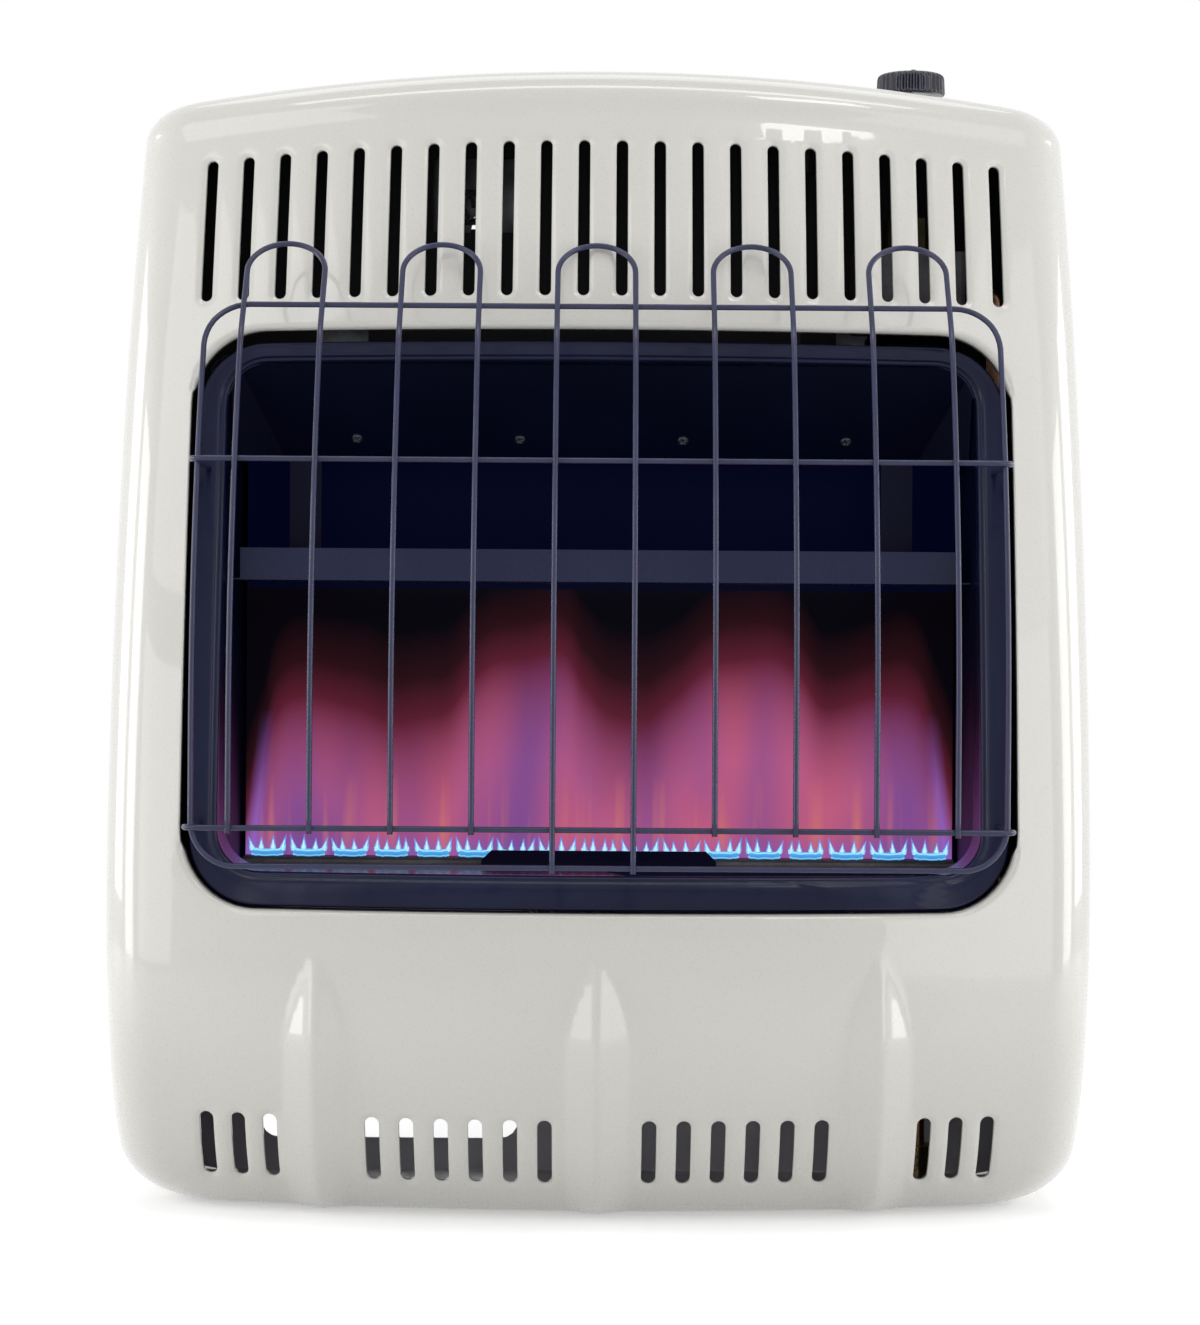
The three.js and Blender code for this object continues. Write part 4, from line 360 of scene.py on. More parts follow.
def tube(points, radius, sides=12, closed=False):
    """A round wire along points, with flat ends where it is open."""
    pts = [Vector(p) for p in points]
    count = len(pts)
    directions = []
    for i in range(count):
        before = pts[i - 1] if i or closed else pts[i]
        after = pts[(i + 1) % count] if i < count - 1 or closed else pts[i]
        directions.append((after - before).normalized())
    side = directions[0].orthogonal().normalized()
    verts, faces = [], []
    for direction, point in zip(directions, pts):
        side = (side - direction * side.dot(direction)).normalized()
        other = direction.cross(side)
        verts += [point + radius * (side * x + other * y) for x, y in circle(sides)]
    # A closed wire's frame may come back turned, so its last ring is matched to its first.
    end = verts[-sides:]
    shift = min(range(sides), key=lambda k: (end[k] - verts[0]).length)
    for i in range(count if closed else count - 1):
        a, b = i * sides, (i + 1) % count * sides
        turn = shift if i == count - 1 else 0
        for k in range(sides):
            n = (k + 1) % sides
            faces.append((a + (k + turn) % sides, a + (n + turn) % sides, b + n, b + k))
    if not closed:
        faces.append(tuple(reversed(range(sides))))
        faces.append(tuple(range((count - 1) * sides, count * sides)))
    return verts, faces


def fan(first, count, tip):
    """Triangles from a ring of points, numbered from first, to a tip."""
    return [(first + k, first + (k + 1) % count, tip) for k in range(count)]


def merged(parts):
    verts, faces = [], []
    for part_verts, part_faces in parts:
        base = len(verts)
        verts += part_verts
        faces += [tuple(i + base for i in face) for face in part_faces]
    return verts, faces


# ---- materials ----

class Tree:
    """The node tree of a new material or world, with short calls for its nodes."""

    def __init__(self, owner, shader="Principled BSDF"):
        owner.use_nodes = True
        self.owner = owner
        self.nodes = owner.node_tree.nodes
        self.shader = self.nodes[shader]

    def feed(self, socket, value):
        """Links an output to a socket, or sets a constant on it."""
        if isinstance(value, bpy.types.NodeSocket):
            self.owner.node_tree.links.new(value, socket)
        else:
            socket.default_value = (*value, 1) if socket.type == "RGBA" else value

    def put(self, node, **values):
        for key, value in values.items():
            self.feed(node.inputs[key.replace("_", " ")], value)
        return node

    def add(self, kind, **values):
        return self.put(self.nodes.new("ShaderNode" + kind), **values)

    def finish(self, **values):
        self.put(self.shader, **values)
        return self.owner

    def position(self):
        point = self.add("NewGeometry").outputs["Position"]
        return self.add("SeparateXYZ", Vector=point).outputs

    def noise(self, scale, detail=3):
        point = self.add("TexCoord").outputs["Object"]
        return self.add("TexNoise", Vector=point, Scale=scale, Detail=detail).outputs["Fac"]

    def stretched_noise(self, across, up, detail, shift):
        point = self.add("NewGeometry").outputs["Position"]
        mapped = self.add("Mapping", Vector=point, Scale=(across, 0, up), Location=(shift, 0, 0))
        return self.add("TexNoise", Vector=mapped.outputs["Vector"], Scale=1, Detail=detail).outputs["Fac"]

    def ramp(self, source, stops):
        node = self.add("ValToRGB", Fac=source)
        elements = node.color_ramp.elements
        while len(elements) < len(stops):
            elements.new(0.5)
        for element, (position, color) in zip(elements, stops):
            element.position, element.color = position, (*color, 1)
        return node.outputs["Color"]

    def curve(self, source, points):
        """A smooth run of values along a source from 0 to 1."""
        node = self.add("FloatCurve", Value=source)
        curve = node.mapping.curves[0]
        curve.points[0].location, curve.points[1].location = points[0], points[-1]
        for point in points[1:-1]:
            curve.points.new(*point)
        node.mapping.update()
        return node.outputs["Value"]

    def math(self, operation, *values, clamp=False):
        node = self.add("Math")
        node.operation, node.use_clamp = operation, clamp
        for socket, value in zip(node.inputs, values):
            self.feed(socket, value)
        return node.outputs[0]

    def line(self, source, slope, start):
        """The source times a slope plus a start, held between 0 and 1."""
        return self.math("MULTIPLY_ADD", source, slope, start, clamp=True)

    def mix(self, share, first, second):
        node = self.add("Mix")
        node.data_type = "RGBA"
        for index, value in ((0, share), (6, first), (7, second)):
            self.feed(node.inputs[index], value)
        return node.outputs[2]

    def parted(self, margin, ahead, behind):
        """One colour up to a margin in front of the wall, and another behind that."""
        return self.mix(self.math("GREATER_THAN", self.position()["Y"], WALL_Y - margin), ahead, behind)

    def seen_directly(self):
        """1 for rays from the camera, a mirror or glass, and 0 for the light on the object."""
        rays = self.add("LightPath").outputs
        seen = self.math("MAXIMUM", rays["Is Camera Ray"], rays["Is Glossy Ray"])
        return self.math("MAXIMUM", seen, rays["Is Transmission Ray"])


def new_tree(name):
    return Tree(bpy.data.materials.new(name))


def coated(name, tones, scales, roughness, peel=0.00001, coat=0.0, metallic=0.0, spread=0.08, shine=0.5):
    """A surface whose colour and roughness drift a little over a fine grain."""
    tree = new_tree(name)
    color = tree.ramp(tree.noise(scales[0]), [(0.3, tones[0]), (0.7, tones[1])])
    grain = tree.noise(scales[1])
    low, high = roughness - spread / 2, roughness + spread / 2
    rough = tree.ramp(grain, [(0.35, (low,) * 3), (0.65, (high,) * 3)])
    bump = tree.add("Bump", Distance=peel, Strength=1.0, Height=grain).outputs["Normal"]
    return tree.finish(Base_Color=color, Roughness=rough, Normal=bump, Metallic=metallic,
                       Coat_Weight=coat, Specular_IOR_Level=shine)


def metal(name, tones, scales, roughness, spread, metallic=1.0, peel=0.00001):
    return coated(name, tones, scales, roughness, peel, metallic=metallic, spread=spread)


def shade(color, factor):
    return tuple(c * factor for c in color)


CREAM = (0.66, 0.649, 0.608)
NAVY = (0.007, 0.009, 0.032)
WIRE_NAVY = (0.024, 0.027, 0.072)
cream = coated("cream_coat", (shade(CREAM, 0.985), CREAM), (6, 900), 0.3, peel=0.000003, coat=1.0)
enamel = coated("navy_enamel", (NAVY, shade(NAVY, 1.5)), (9, 500), 0.2, peel=0.0000015, shine=0.19)
wire_enamel = coated("wire_enamel", (WIRE_NAVY, shade(WIRE_NAVY, 1.3)), (30, 900), 0.2, peel=0.000002,
                     coat=0.1, shine=0.32)
# A darker copy of the navy enamel: painted shade for the inside of the firebox, the hood and the pilot
# shield.
oven_enamel_painted_shade = coated("oven_enamel_painted_shade", ((0.0008, 0.0014, 0.01), (0.0013, 0.0022, 0.015)), (12, 700), 0.42,
                     peel=0.000006, shine=0.09)
# A darker copy of the navy enamel, a little lighter than the firebox inside: painted shade for the hood
# posts.
post_enamel_painted_shade = coated("post_enamel_painted_shade", ((0.003, 0.0038, 0.018), (0.0042, 0.0052, 0.025)), (12, 700), 0.42,
                    peel=0.000006, shine=0.1)
# A lighter copy of the navy enamel: painted light on the heat shelf.
shelf_enamel_painted_light = coated("shelf_enamel_painted_light", ((0.01, 0.014, 0.05), (0.015, 0.021, 0.066)), (9, 500), 0.25,
                      peel=0.0000015, shine=0.24)
knob_plastic = coated("knob_plastic", ((0.006, 0.007, 0.022), (0.01, 0.011, 0.03)), (40, 1200), 0.22,
                      peel=0.000002, coat=0.4)
ceramic = coated("glazed_ceramic", ((0.74, 0.72, 0.66), (0.82, 0.8, 0.74)), (60, 500), 0.22, coat=0.5)
sleeve = coated("silicone_sleeve", ((0.022, 0.022, 0.024), (0.035, 0.035, 0.037)), (60, 700), 0.6,
                peel=0.00002)
zinc = metal("zinc_plate", ((0.5, 0.52, 0.54), (0.66, 0.67, 0.68)), (60, 300), 0.38, 0.16)
burner_steel = metal("heat_tinted_steel", ((0.16, 0.13, 0.17), (0.3, 0.27, 0.27)), (25, 400), 0.42, 0.15)
brass = metal("machined_brass", ((0.6, 0.42, 0.17), (0.74, 0.56, 0.28)), (40, 500), 0.3, 0.12)
copper = metal("drawn_copper", ((0.62, 0.33, 0.2), (0.78, 0.46, 0.3)), (35, 500), 0.33, 0.12)
# Brass darkened almost to black: painted shade on the valve bonnet inside the casing.
bonnet_brass_painted_shade = metal("bonnet_brass_painted_shade", ((0.04, 0.034, 0.018), (0.07, 0.06, 0.03)), (40, 500), 0.5, 0.12)
casting = metal("valve_casting", ((0.1, 0.1, 0.11), (0.17, 0.17, 0.18)), (50, 350), 0.52, 0.14,
                peel=0.00008)
# Darker steel for the burner bar.
dark_bar_steel = metal("dark_bar_steel", ((0.03, 0.028, 0.034), (0.06, 0.055, 0.06)), (25, 400), 0.5, 0.15, 0.8)
dark_screw = metal("dark_screw", ((0.03, 0.032, 0.045), (0.06, 0.062, 0.08)), (60, 500), 0.38, 0.12, 0.7)
# Zinc darkened almost to black: painted shade inside the casing, on the valve bracket and the inner part of
# the wall bracket.
SHADED_ZINC = ((0.016, 0.017, 0.019), (0.03, 0.031, 0.034))
valve_bracket_zinc_painted_shade = metal("valve_bracket_zinc_painted_shade", SHADED_ZINC, (40, 300), 0.62, 0.16, 0.3)
# A dim grey zinc for the hanger plate, partly painted shade for the wall in shade behind the upper rear
# opening.
hanger_zinc_painted_shade = metal("hanger_zinc_painted_shade", ((0.18, 0.185, 0.2), (0.4, 0.41, 0.43)), (45, 300), 0.55, 0.16, 0.3,
                  peel=0.00002)


FLAME_FOOT = 0.215  # metres


def emitted(name, stops, low, high):
    """A flame whose colour changes with height between two levels, in metres above the burner."""
    tree = new_tree(name)
    rise = tree.add("MapRange", Value=tree.position()["Z"], From_Min=FLAME_FOOT + low,
                    From_Max=FLAME_FOOT + high).outputs["Result"]
    return tree.finish(Emission_Color=tree.ramp(rise, stops), Emission_Strength=1.0,
                       Base_Color=(0.01, 0.02, 0.05), Roughness=0.6, Specular_IOR_Level=0.0)


flame_bright = emitted("flame_edge", [(0.0, (0.1, 0.45, 0.85)), (0.35, (0.3, 0.78, 1.0)),
                                      (1.0, (0.5, 0.93, 1.0))], 0, 0.008)
flame_blue = emitted("flame_core", [(0.0, (0.04, 0.16, 0.5)), (0.6, (0.09, 0.4, 0.85)),
                                    (1.0, (0.22, 0.62, 0.95))], 0, 0.006)
flame_tongue = emitted("flame_tongue", [(0.0, (0.25, 0.66, 1.0)), (0.45, (0.2, 0.46, 0.95)),
                                        (0.8, (0.17, 0.24, 0.8)), (1.0, (0.28, 0.13, 0.5))], 0.003, 0.0142)
flame_heart = emitted("flame_heart", [(0.0, (0.5, 0.9, 1.0)), (0.7, (0.62, 0.93, 1.0)),
                                      (1.0, (0.34, 0.62, 1.0))], 0.003, 0.0125)


GLOW_WIDTH, GLOW_FOOT, GLOW_HEIGHT, SHELF_LINE = 0.46, 0.212, 0.18, 0.385  # metres
GLOW_REACH = [  # how high the glow goes, from left to right
    (0, 0.3), (0.03, 0.62), (0.07, 0.86), (0.15, 0.84), (0.26, 0.8), (0.32, 0.92), (0.38, 1.0),
    (0.44, 1.0), (0.48, 0.88), (0.54, 0.8), (0.6, 0.9), (0.68, 1.0), (0.77, 1.0), (0.83, 0.84),
    (0.9, 0.88), (0.97, 0.7), (1, 0.35)]
GLOW_TINTS = [(0.37, (0.2, 0.066, 0.255)), (0.5, (0.35, 0.084, 0.225)), (0.66, (0.56, 0.11, 0.18))]
GLOW_FADE = [(0.0, (0.0012, 0.0006, 0.001)), (0.22, (0.02, 0.0035, 0.0045)), (0.45, (0.11, 0.013, 0.03)),
             (1.0, (0.33, 0.07, 0.17))]
STREAK, HAZE, END_GLOW = (0.6, 0.17, 0.13), (0.12, 0.1, 0.5), (0.26, 0.14, 0.62)
# ABOVE_SHELF is a faint navy glow painted on the firebox back above the shelf line.
ABOVE_SHELF = (0.0001, 0.0006, 0.0085)


def glow_material():
    """Pink, violet and orange light of the flames on the firebox back, dark towards its head."""
    tree = new_tree("flame_glow")
    line, times, position = tree.line, lambda a, b: tree.math("MULTIPLY", a, b), tree.position()
    across = line(position["X"], 1 / GLOW_WIDTH, 0.5)
    rise = line(position["Z"], 1 / GLOW_HEIGHT, -GLOW_FOOT / GLOW_HEIGHT)
    room = tree.math("SUBTRACT", tree.curve(across, GLOW_REACH), tree.math("ADD", rise, 0.18))
    level = tree.math("MULTIPLY_ADD", tree.stretched_noise(14, 3, 1, 0.7), 0.36, room)
    fade = tree.math("MULTIPLY", level, 1.35, clamp=True)
    tints = tree.ramp(tree.stretched_noise(17, 3.5, 1, 2.1), GLOW_TINTS)
    color = tree.mix(line(fade, 1.9, -0.75), tree.ramp(fade, GLOW_FADE), tints)
    streaks = line(tree.stretched_noise(80, 4, 2, 5.3), 5.5, -2.9)
    color = tree.mix(times(streaks, line(rise, -3.6, 1.1)), color, STREAK)
    color = tree.mix(times(line(rise, -11, 0.9), 0.55), color, HAZE)
    off_middle = tree.math("ABSOLUTE", tree.math("SUBTRACT", across, 0.5))
    off_end = tree.math("SUBTRACT", off_middle, tree.math("MULTIPLY_ADD", rise, -0.045, 0.487))
    ends = times(line(tree.math("ABSOLUTE", off_end), -70, 1.0), line(rise, -1.9, 1.0))
    color = tree.mix(times(ends, 0.75), color, END_GLOW)
    color = tree.mix(tree.math("GREATER_THAN", position["Z"], SHELF_LINE), color, ABOVE_SHELF)
    return tree.finish(Emission_Color=color, Emission_Strength=1.06, Base_Color=(0.001, 0.0015, 0.006),
                       Roughness=0.8, Specular_IOR_Level=0.07)


def sill_zinc_material():
    """The back panel: plain zinc behind; inside, painted light below the sill of its lower opening and
    painted shade above.
    """
    tree = new_tree("sill_zinc")
    grain = tree.noise(60)
    rise = tree.line(tree.position()["Z"], 12, tree.math("MULTIPLY", grain, 0.2))
    inside = tree.ramp(rise, [(0.55, (0.85, 0.86, 0.88)), (0.85, (0.016, 0.017, 0.02))])
    outside = tree.ramp(grain, [(0.35, (0.3, 0.31, 0.32)), (0.65, (0.345, 0.355, 0.365))])
    return tree.finish(Base_Color=tree.parted(8.5 * MM, inside, outside), Metallic=0.2, Roughness=0.6,
                       Specular_IOR_Level=0.3)


def parted(name, margin, ahead_tones, behind_tones, roughness, metallic=0.0):
    """A finish with one pair of tones up to a margin in front of the wall, and another behind that."""
    tree = new_tree(name)
    grain = tree.noise(45)
    sides = [tree.ramp(grain, [(0.38, low), (0.62, high)]) for low, high in (ahead_tones, behind_tones)]
    return tree.finish(Base_Color=tree.parted(margin, *sides), Metallic=metallic, Roughness=roughness,
                       Specular_IOR_Level=0.2)


glow = glow_material()
sill_zinc = sill_zinc_material()
# Lining of the casing: near-black painted shade on the inside, and the casing's cream on the last 11 mm
# before the wall.
shade_and_cream_lining = parted("lining_painted_shade_and_cream", 11 * MM, ((0.014, 0.014, 0.015), (0.022, 0.022, 0.023)),
                ((0.58, 0.575, 0.55), (0.62, 0.61, 0.58)), 0.6)
# The wall bracket: near-black painted shade where it is inside the casing, and plain zinc within 7 mm of the
# wall.
bracket_zinc = parted("bracket_zinc", 7 * MM, SHADED_ZINC, ((0.24, 0.245, 0.26), (0.36, 0.37, 0.39)), 0.55, 0.3)


# ---- casing ----

def slots_near(x):
    return [hole for hole in SLOTS if abs(x - hole[0]) < SLOT_REACH]


def near_slot(x, z, slack):
    return any(capsule_gap(x, z, hole) < slack for hole in slots_near(x))


def casing_skin():
    """The casing up to its crown: points on the unrolled sheet, their places and the faces."""
    outer = steps_between(U_FLAT, U_BOW, 5)[1:] + steps_between(U_BOW, U_CORNER, 5)
    outer += steps_between(U_CORNER, U_REAR, 16) + [U_REAR]
    columns = [-u for u in reversed(outer)] + steps_between(-U_FLAT, U_FLAT, 6) + [U_FLAT] + outer
    ribbed = [u for u in columns if all(abs(u - middle) > RIB_WIDTH / 2 + 2 for middle in RIB_MIDDLES)]
    ribbed += [middle + share * RIB_WIDTH / 22 for middle in RIB_MIDDLES for share in range(-11, 12)]
    rows = [BELLY_HEIGHT * (1 - cos(pi / 2 * i / 30)) for i in range(31)]
    rows += steps_between(BELLY_HEIGHT, SHOULDER_START, 9)[1:] + steps_between(SHOULDER_START, V_TOP, 3)
    points = []
    for v in rows + [V_TOP]:
        for u in ribbed if v < RIB_TOP + 6 else columns:
            if abs(u) < U_FLAT + 1:
                if window_gap(u, v) < WINDOW_RIM + 2 or near_slot(u, v, SLOT_RIM + 1.4):
                    continue
            points.append((u, v))
    loops = [[(x, unarch(x, z)) for x, z in capsule_loop(hole, out)] for hole in SLOTS for out in SLOT_LOOPS]
    loops += [rounded_loop(grown(WINDOW_BOX, out), WINDOW_CORNER + out) for out in WINDOW_LOOPS]

    def keep(u, v):
        if abs(u) < U_FLAT + 1 and window_gap(u, v) < 0:
            return False
        return not near_slot(u, casing_height(u, v), -0.02)

    flat, faces = triangulate(points, loops, keep)
    verts = []
    for u, v in flat:
        point = casing_point(u, v)
        if abs(u) < U_FLAT + 1:
            push = rim_push(max(window_gap(u, v), 0), WINDOW_RIM)
            for hole in slots_near(u):
                push = max(push, slot_push(max(capsule_gap(u, casing_height(u, v), hole), 0)))
            if push:
                point -= casing_normal(u, v) * push * MM
        verts.append(point)
    return flat, verts, faces


def casing_height(u, v):
    return v - arch_drop(u, v) if v < SHOULDER_START else v


def boundary_loops(faces):
    """Open edges of a mesh, chained into loops that keep the faces on their left."""
    pairs = {(face[i], face[(i + 1) % len(face)]) for face in faces for i in range(len(face))}
    following = {a: b for a, b in pairs if (b, a) not in pairs}
    loops = []
    while following:
        loop, here = [], next(iter(following))
        while here in following:
            loop.append(here)
            here = following.pop(here)
        loops.append(loop)
    return loops


def ring_wall(loop, verts, faces, shift):
    """Carries a hole's edge on inwards by one more row."""
    base = len(verts)
    verts += [verts[i] + shift for i in loop]
    count = len(loop)
    faces += [(loop[k], base + k, base + (k + 1) % count, loop[(k + 1) % count]) for k in range(count)]


def crown_part(edge):
    """The flat of the crown inside the shoulder, with the holes for the stem and the igniter."""
    outline = [(p.x / MM, (WALL_Y - p.y) / MM) for p in edge]
    half = outline[-1][0]
    loop = outline + [(half - 2 * half * i / 60, 0) for i in range(1, 60)]
    circles = [[(x + r * c, depth + r * s) for c, s in circle(28)] for x, depth, r in CROWN_HOLES]

    def in_hole(point, slack):
        return any(dist(point, hole[:2]) <= hole[2] + slack for hole in CROWN_HOLES)

    points = []
    for x in steps_between(-half + 8, half - 8, 9):
        front = min((depth for px, depth in outline if abs(px - x) < 14), default=0)
        for depth in steps_between(7, 140, 9):
            if depth < front - 5 and not in_hole((x, depth), 3):
                points.append((x, depth))

    def keep(x, depth):
        return not in_hole((x, depth), -0.1) and inside(x, depth, loop)

    flat, faces = triangulate(points, [loop] + circles, keep)
    verts = [place(x, depth, CASING_HEIGHT - arch_drop(x, CASING_HEIGHT)) for x, depth in flat]
    return verts, [tuple(reversed(face)) for face in faces]


def inside(x, y, loop):
    hit = False
    for (x1, y1), (x2, y2) in zip(loop, loop[1:] + loop[:1]):
        if (y1 > y) != (y2 > y) and x < (x2 - x1) * (y - y1) / (y2 - y1) + x1:
            hit = not hit
    return hit


def make_casing():
    flat, verts, faces = casing_skin()
    for loop in boundary_loops(faces):
        us, vs = [flat[i][0] for i in loop], [flat[i][1] for i in loop]
        if max(vs) - min(vs) > 600:  # the sheet's own outline
            continue
        is_window = max(us) - min(us) > 100
        normal = casing_normal(sum(us) / len(us), sum(vs) / len(vs))
        ring_wall(loop, verts, faces, WINDOW_TURN if is_window else -normal * SLOT_TURN)
    order = sorted(range(len(flat)), key=lambda i: flat[i][0])
    top = [verts[i] for i in order if flat[i][1] > V_TOP - 1e-3]
    foot = [verts[i] for i in order if flat[i][1] < 1e-3]
    inner = []
    for point in foot:
        x, depth = point.x / MM, (WALL_Y - point.y) / MM
        inner.append(place(x * (1 - BASE_RIM / side_at(0)), max(depth - BASE_RIM * min(depth / 40, 1), 0), 0))
    sheet = merged([(verts, faces), crown_part(top), strip([inner, foot])])
    casing = new_piece("casing", *sheet, cream, "casing_coat", ["front_casing"])
    weld = casing.modifiers.new("weld", "WELD")
    weld.merge_threshold = 0.00002
    thicken(casing, SHEET, shade_and_cream_lining)


# ---- window surround ----

BEZEL_SETBACK = 15
LIP_BOX = (-248, 248, 190.5, 533.5)
MOUTH_BOX = (-231, 231, 211, 522)
LIP_CORNER = 41.5
MOUTH_CORNER = 24.5
LIP_FALL = 6
FOLD = 3.2
FIREBOX_FRONT = 150


def lip_row(box, corner, sink):
    loop = rounded_loop(box, corner, 8, 14)
    return [place(x, smooth_face(x, z) - BEZEL_SETBACK - sink, z) for x, z in loop]


def make_bezel():
    rows = [lip_row(LIP_BOX, LIP_CORNER, 12), lip_row(LIP_BOX, LIP_CORNER, 1.6)]
    rows.append(lip_row(grown(LIP_BOX, -0.35), LIP_CORNER - 0.35, 0.5))
    rows.append(lip_row(grown(LIP_BOX, -1.3), LIP_CORNER - 1.3, 0.05))
    for share in (0.12, 0.35, 0.62, 0.80):
        box = [a + (b - a) * share for a, b in zip(LIP_BOX, MOUTH_BOX)]
        corner = LIP_CORNER + (MOUTH_CORNER - LIP_CORNER) * share
        rows.append(lip_row(box, corner, LIP_FALL * share ** 1.2))
    for turn in (0, 15, 30, 45, 60, 75, 90):
        out, sink = FOLD * (1 - sin(radians(turn))), FOLD * (1 - cos(radians(turn)))
        rows.append(lip_row(grown(MOUTH_BOX, out), MOUTH_CORNER + out, LIP_FALL + sink))
    rows.append([place(x, FIREBOX_FRONT, z) for x, z in rounded_loop(MOUTH_BOX, MOUTH_CORNER, 8, 14)])
    verts, faces = strip(rows, closed=True)
    bezel = new_piece("window_surround", verts, faces, enamel, "black_enamel", ["window_bezel"])
    thicken(bezel, SHEET)


# ---- wire guard ----

WIRE = 3.4
PIN_PITCH = 46.8
PIN_SHIFT = -3.5
PIN_TOP = 591
KNEE = 532
KNEE_DEPTH = 233
GUARD_BELLY = 300
GUARD_REACH = 284
LOWER_RAIL = 241
UPPER_RAIL = 456
RING_BOX = (-236.5, 236.5, 219, 551)
RING_CORNER = 26
PIN_OVERHANG = 3
RAIL_HALF = 240.5
RAIL_SINK = 7
LAYER = WIRE + 0.3
PIN_TOP_DEPTH = smooth_face(0, PIN_TOP) + WIRE / 2 + 1.5


def raw_guard_depth(height):
    if height > KNEE:
        return KNEE_DEPTH + (PIN_TOP_DEPTH - KNEE_DEPTH) * (height - KNEE) / (PIN_TOP - KNEE)
    share = max(height - GUARD_BELLY, 0) / (KNEE - GUARD_BELLY)
    return GUARD_REACH - (GUARD_REACH - KNEE_DEPTH) * share ** 2


def guard_depth(height):
    """Depth of the upright wires, with the bend at the knee rounded over a few millimetres."""
    if abs(height - KNEE) > 9:
        return raw_guard_depth(height)
    return sum(raw_guard_depth(height + offset) for offset in (-6, -4, -2, 0, 2, 4, 6)) / 7


def make_wire(name, node, points, closed=False):
    new_piece(name, *tube(points, WIRE / 2 * MM, closed=closed), wire_enamel, "guard_wire", [node])


def pin_middle(index):
    return PIN_SHIFT + (index - 2) * 2 * PIN_PITCH


def make_hairpins():
    slope = hypot(PIN_TOP - KNEE, KNEE_DEPTH - PIN_TOP_DEPTH)
    lean = (PIN_TOP - KNEE) / slope
    radius = PIN_PITCH / 2
    loop_foot = PIN_TOP - radius * lean
    for index in range(5):
        middle = pin_middle(index)
        foot = (RING_BOX[2] if index == 2 else LOWER_RAIL) - PIN_OVERHANG
        heights = steps_between(foot, loop_foot, 8) + [loop_foot]
        turns = [pi * (1 - i / 24) for i in range(1, 24)]
        route = [(middle - radius, z) for z in heights]
        route += [(middle + radius * cos(a), loop_foot + radius * sin(a) * lean) for a in turns]
        route += [(middle + radius, z) for z in reversed(heights)]
        points = [place(x, guard_depth(z), z) for x, z in route]
        make_wire(f"guard_wire_{index + 1}", f"guard_hairpin_{index + 1}", points)


def rounded_route(corners, radius, count=10):
    """A route through corners, given as vectors in metres, with arcs at its bends."""
    points = [corners[0]]
    for before, corner, after in zip(corners, corners[1:], corners[2:]):
        arriving, leaving = (corner - before).normalized(), (after - corner).normalized()
        turn = arriving.angle(leaving)
        cut = radius * tan(turn / 2)
        start, stop = corner - arriving * cut, corner + leaving * cut
        for i in range(count + 1):
            share = i / count
            low, high = start.lerp(corner, share), corner.lerp(stop, share)
            points.append(low.lerp(high, share))
    return points + [corners[-1]]


def make_rails():
    for name, height in (("lower", LOWER_RAIL), ("upper", UPPER_RAIL)):
        depth = guard_depth(height) - LAYER
        tail = smooth_face(RAIL_HALF, height) - BEZEL_SETBACK - RAIL_SINK
        ends = ((-RAIL_HALF, tail), (-RAIL_HALF, depth), (RAIL_HALF, depth), (RAIL_HALF, tail))
        route = rounded_route([place(*end, height) for end in ends], 0.009)
        make_wire(f"guard_rail_{name}", f"guard_{name}_rail", route)


def make_ring():
    slope = hypot(1, (KNEE_DEPTH - PIN_TOP_DEPTH) / (PIN_TOP - KNEE))
    points = []
    for x, z in rounded_loop(RING_BOX, RING_CORNER, 9, 10):
        layers = 1 + min(max(z - RING_BOX[2], 0) / (RING_CORNER / 2), 1)
        if z > KNEE:
            layers = max(slope, 1) + (layers - max(slope, 1)) * max(1 - (z - KNEE) / 8, 0)
        points.append(place(x, guard_depth(z) - LAYER * layers, z))
    make_wire("guard_rim", "guard_ring", points, closed=True)


WELD_RADII = (0.0021, 0.0014, 0.0019)


def blob(middle, radii, sides=10, rings=6):
    """A squashed ball, such as a weld's swell."""
    verts = [middle + Vector((0, 0, -radii[2]))]
    for j in range(1, rings):
        lift, out = -cos(pi * j / rings), sin(pi * j / rings)
        verts += [middle + Vector((radii[0] * out * x, radii[1] * out * y, radii[2] * lift))
                  for x, y in circle(sides)]
    verts.append(middle + Vector((0, 0, radii[2])))
    top = len(verts) - 1
    faces = [(tip, b, a) for a, b, tip in fan(1, sides, 0)] + fan(top - sides, sides, top)
    for row in range(1, top - sides, sides):
        faces += [(a, b, b + sides, a + sides) for a, b, _ in fan(row, sides, top)]
    return verts, faces


def make_welds():
    parts = []
    for index in range(5):
        for x in (pin_middle(index) - PIN_PITCH / 2, pin_middle(index) + PIN_PITCH / 2):
            for z in [UPPER_RAIL, LOWER_RAIL, RING_BOX[3]] + [RING_BOX[2]] * (index == 2):
                parts.append(blob(place(x, guard_depth(z) - LAYER / 2, z), WELD_RADII))
    for side in (-1, 1):
        for z in (UPPER_RAIL, LOWER_RAIL):
            middle = place(side * RING_BOX[1], guard_depth(z) - 1.5 * LAYER, z)
            parts.append(blob(middle, (0.0019, 0.0014, 0.0021)))
    new_piece("guard_welds", *merged(parts), wire_enamel, "guard_wire")


# ---- knob ----

KNOB_RADIUS = 22
KNOB_BASE, KNOB_TOP = 705, 719.5
KNOB_FLUTES = 34


def knob_ring(radius, z, flute, count=340):
    """A level of the knob; its rim dips between the flutes."""
    ring = []
    for i in range(count):
        turn = 2 * pi * i / count
        dip = flute * (0.5 - 0.5 * cos(KNOB_FLUTES * turn)) ** 0.7
        r = radius - dip
        ring.append(place(KNOB[0] + r * sin(turn), KNOB[1] + r * cos(turn), z))
    return ring


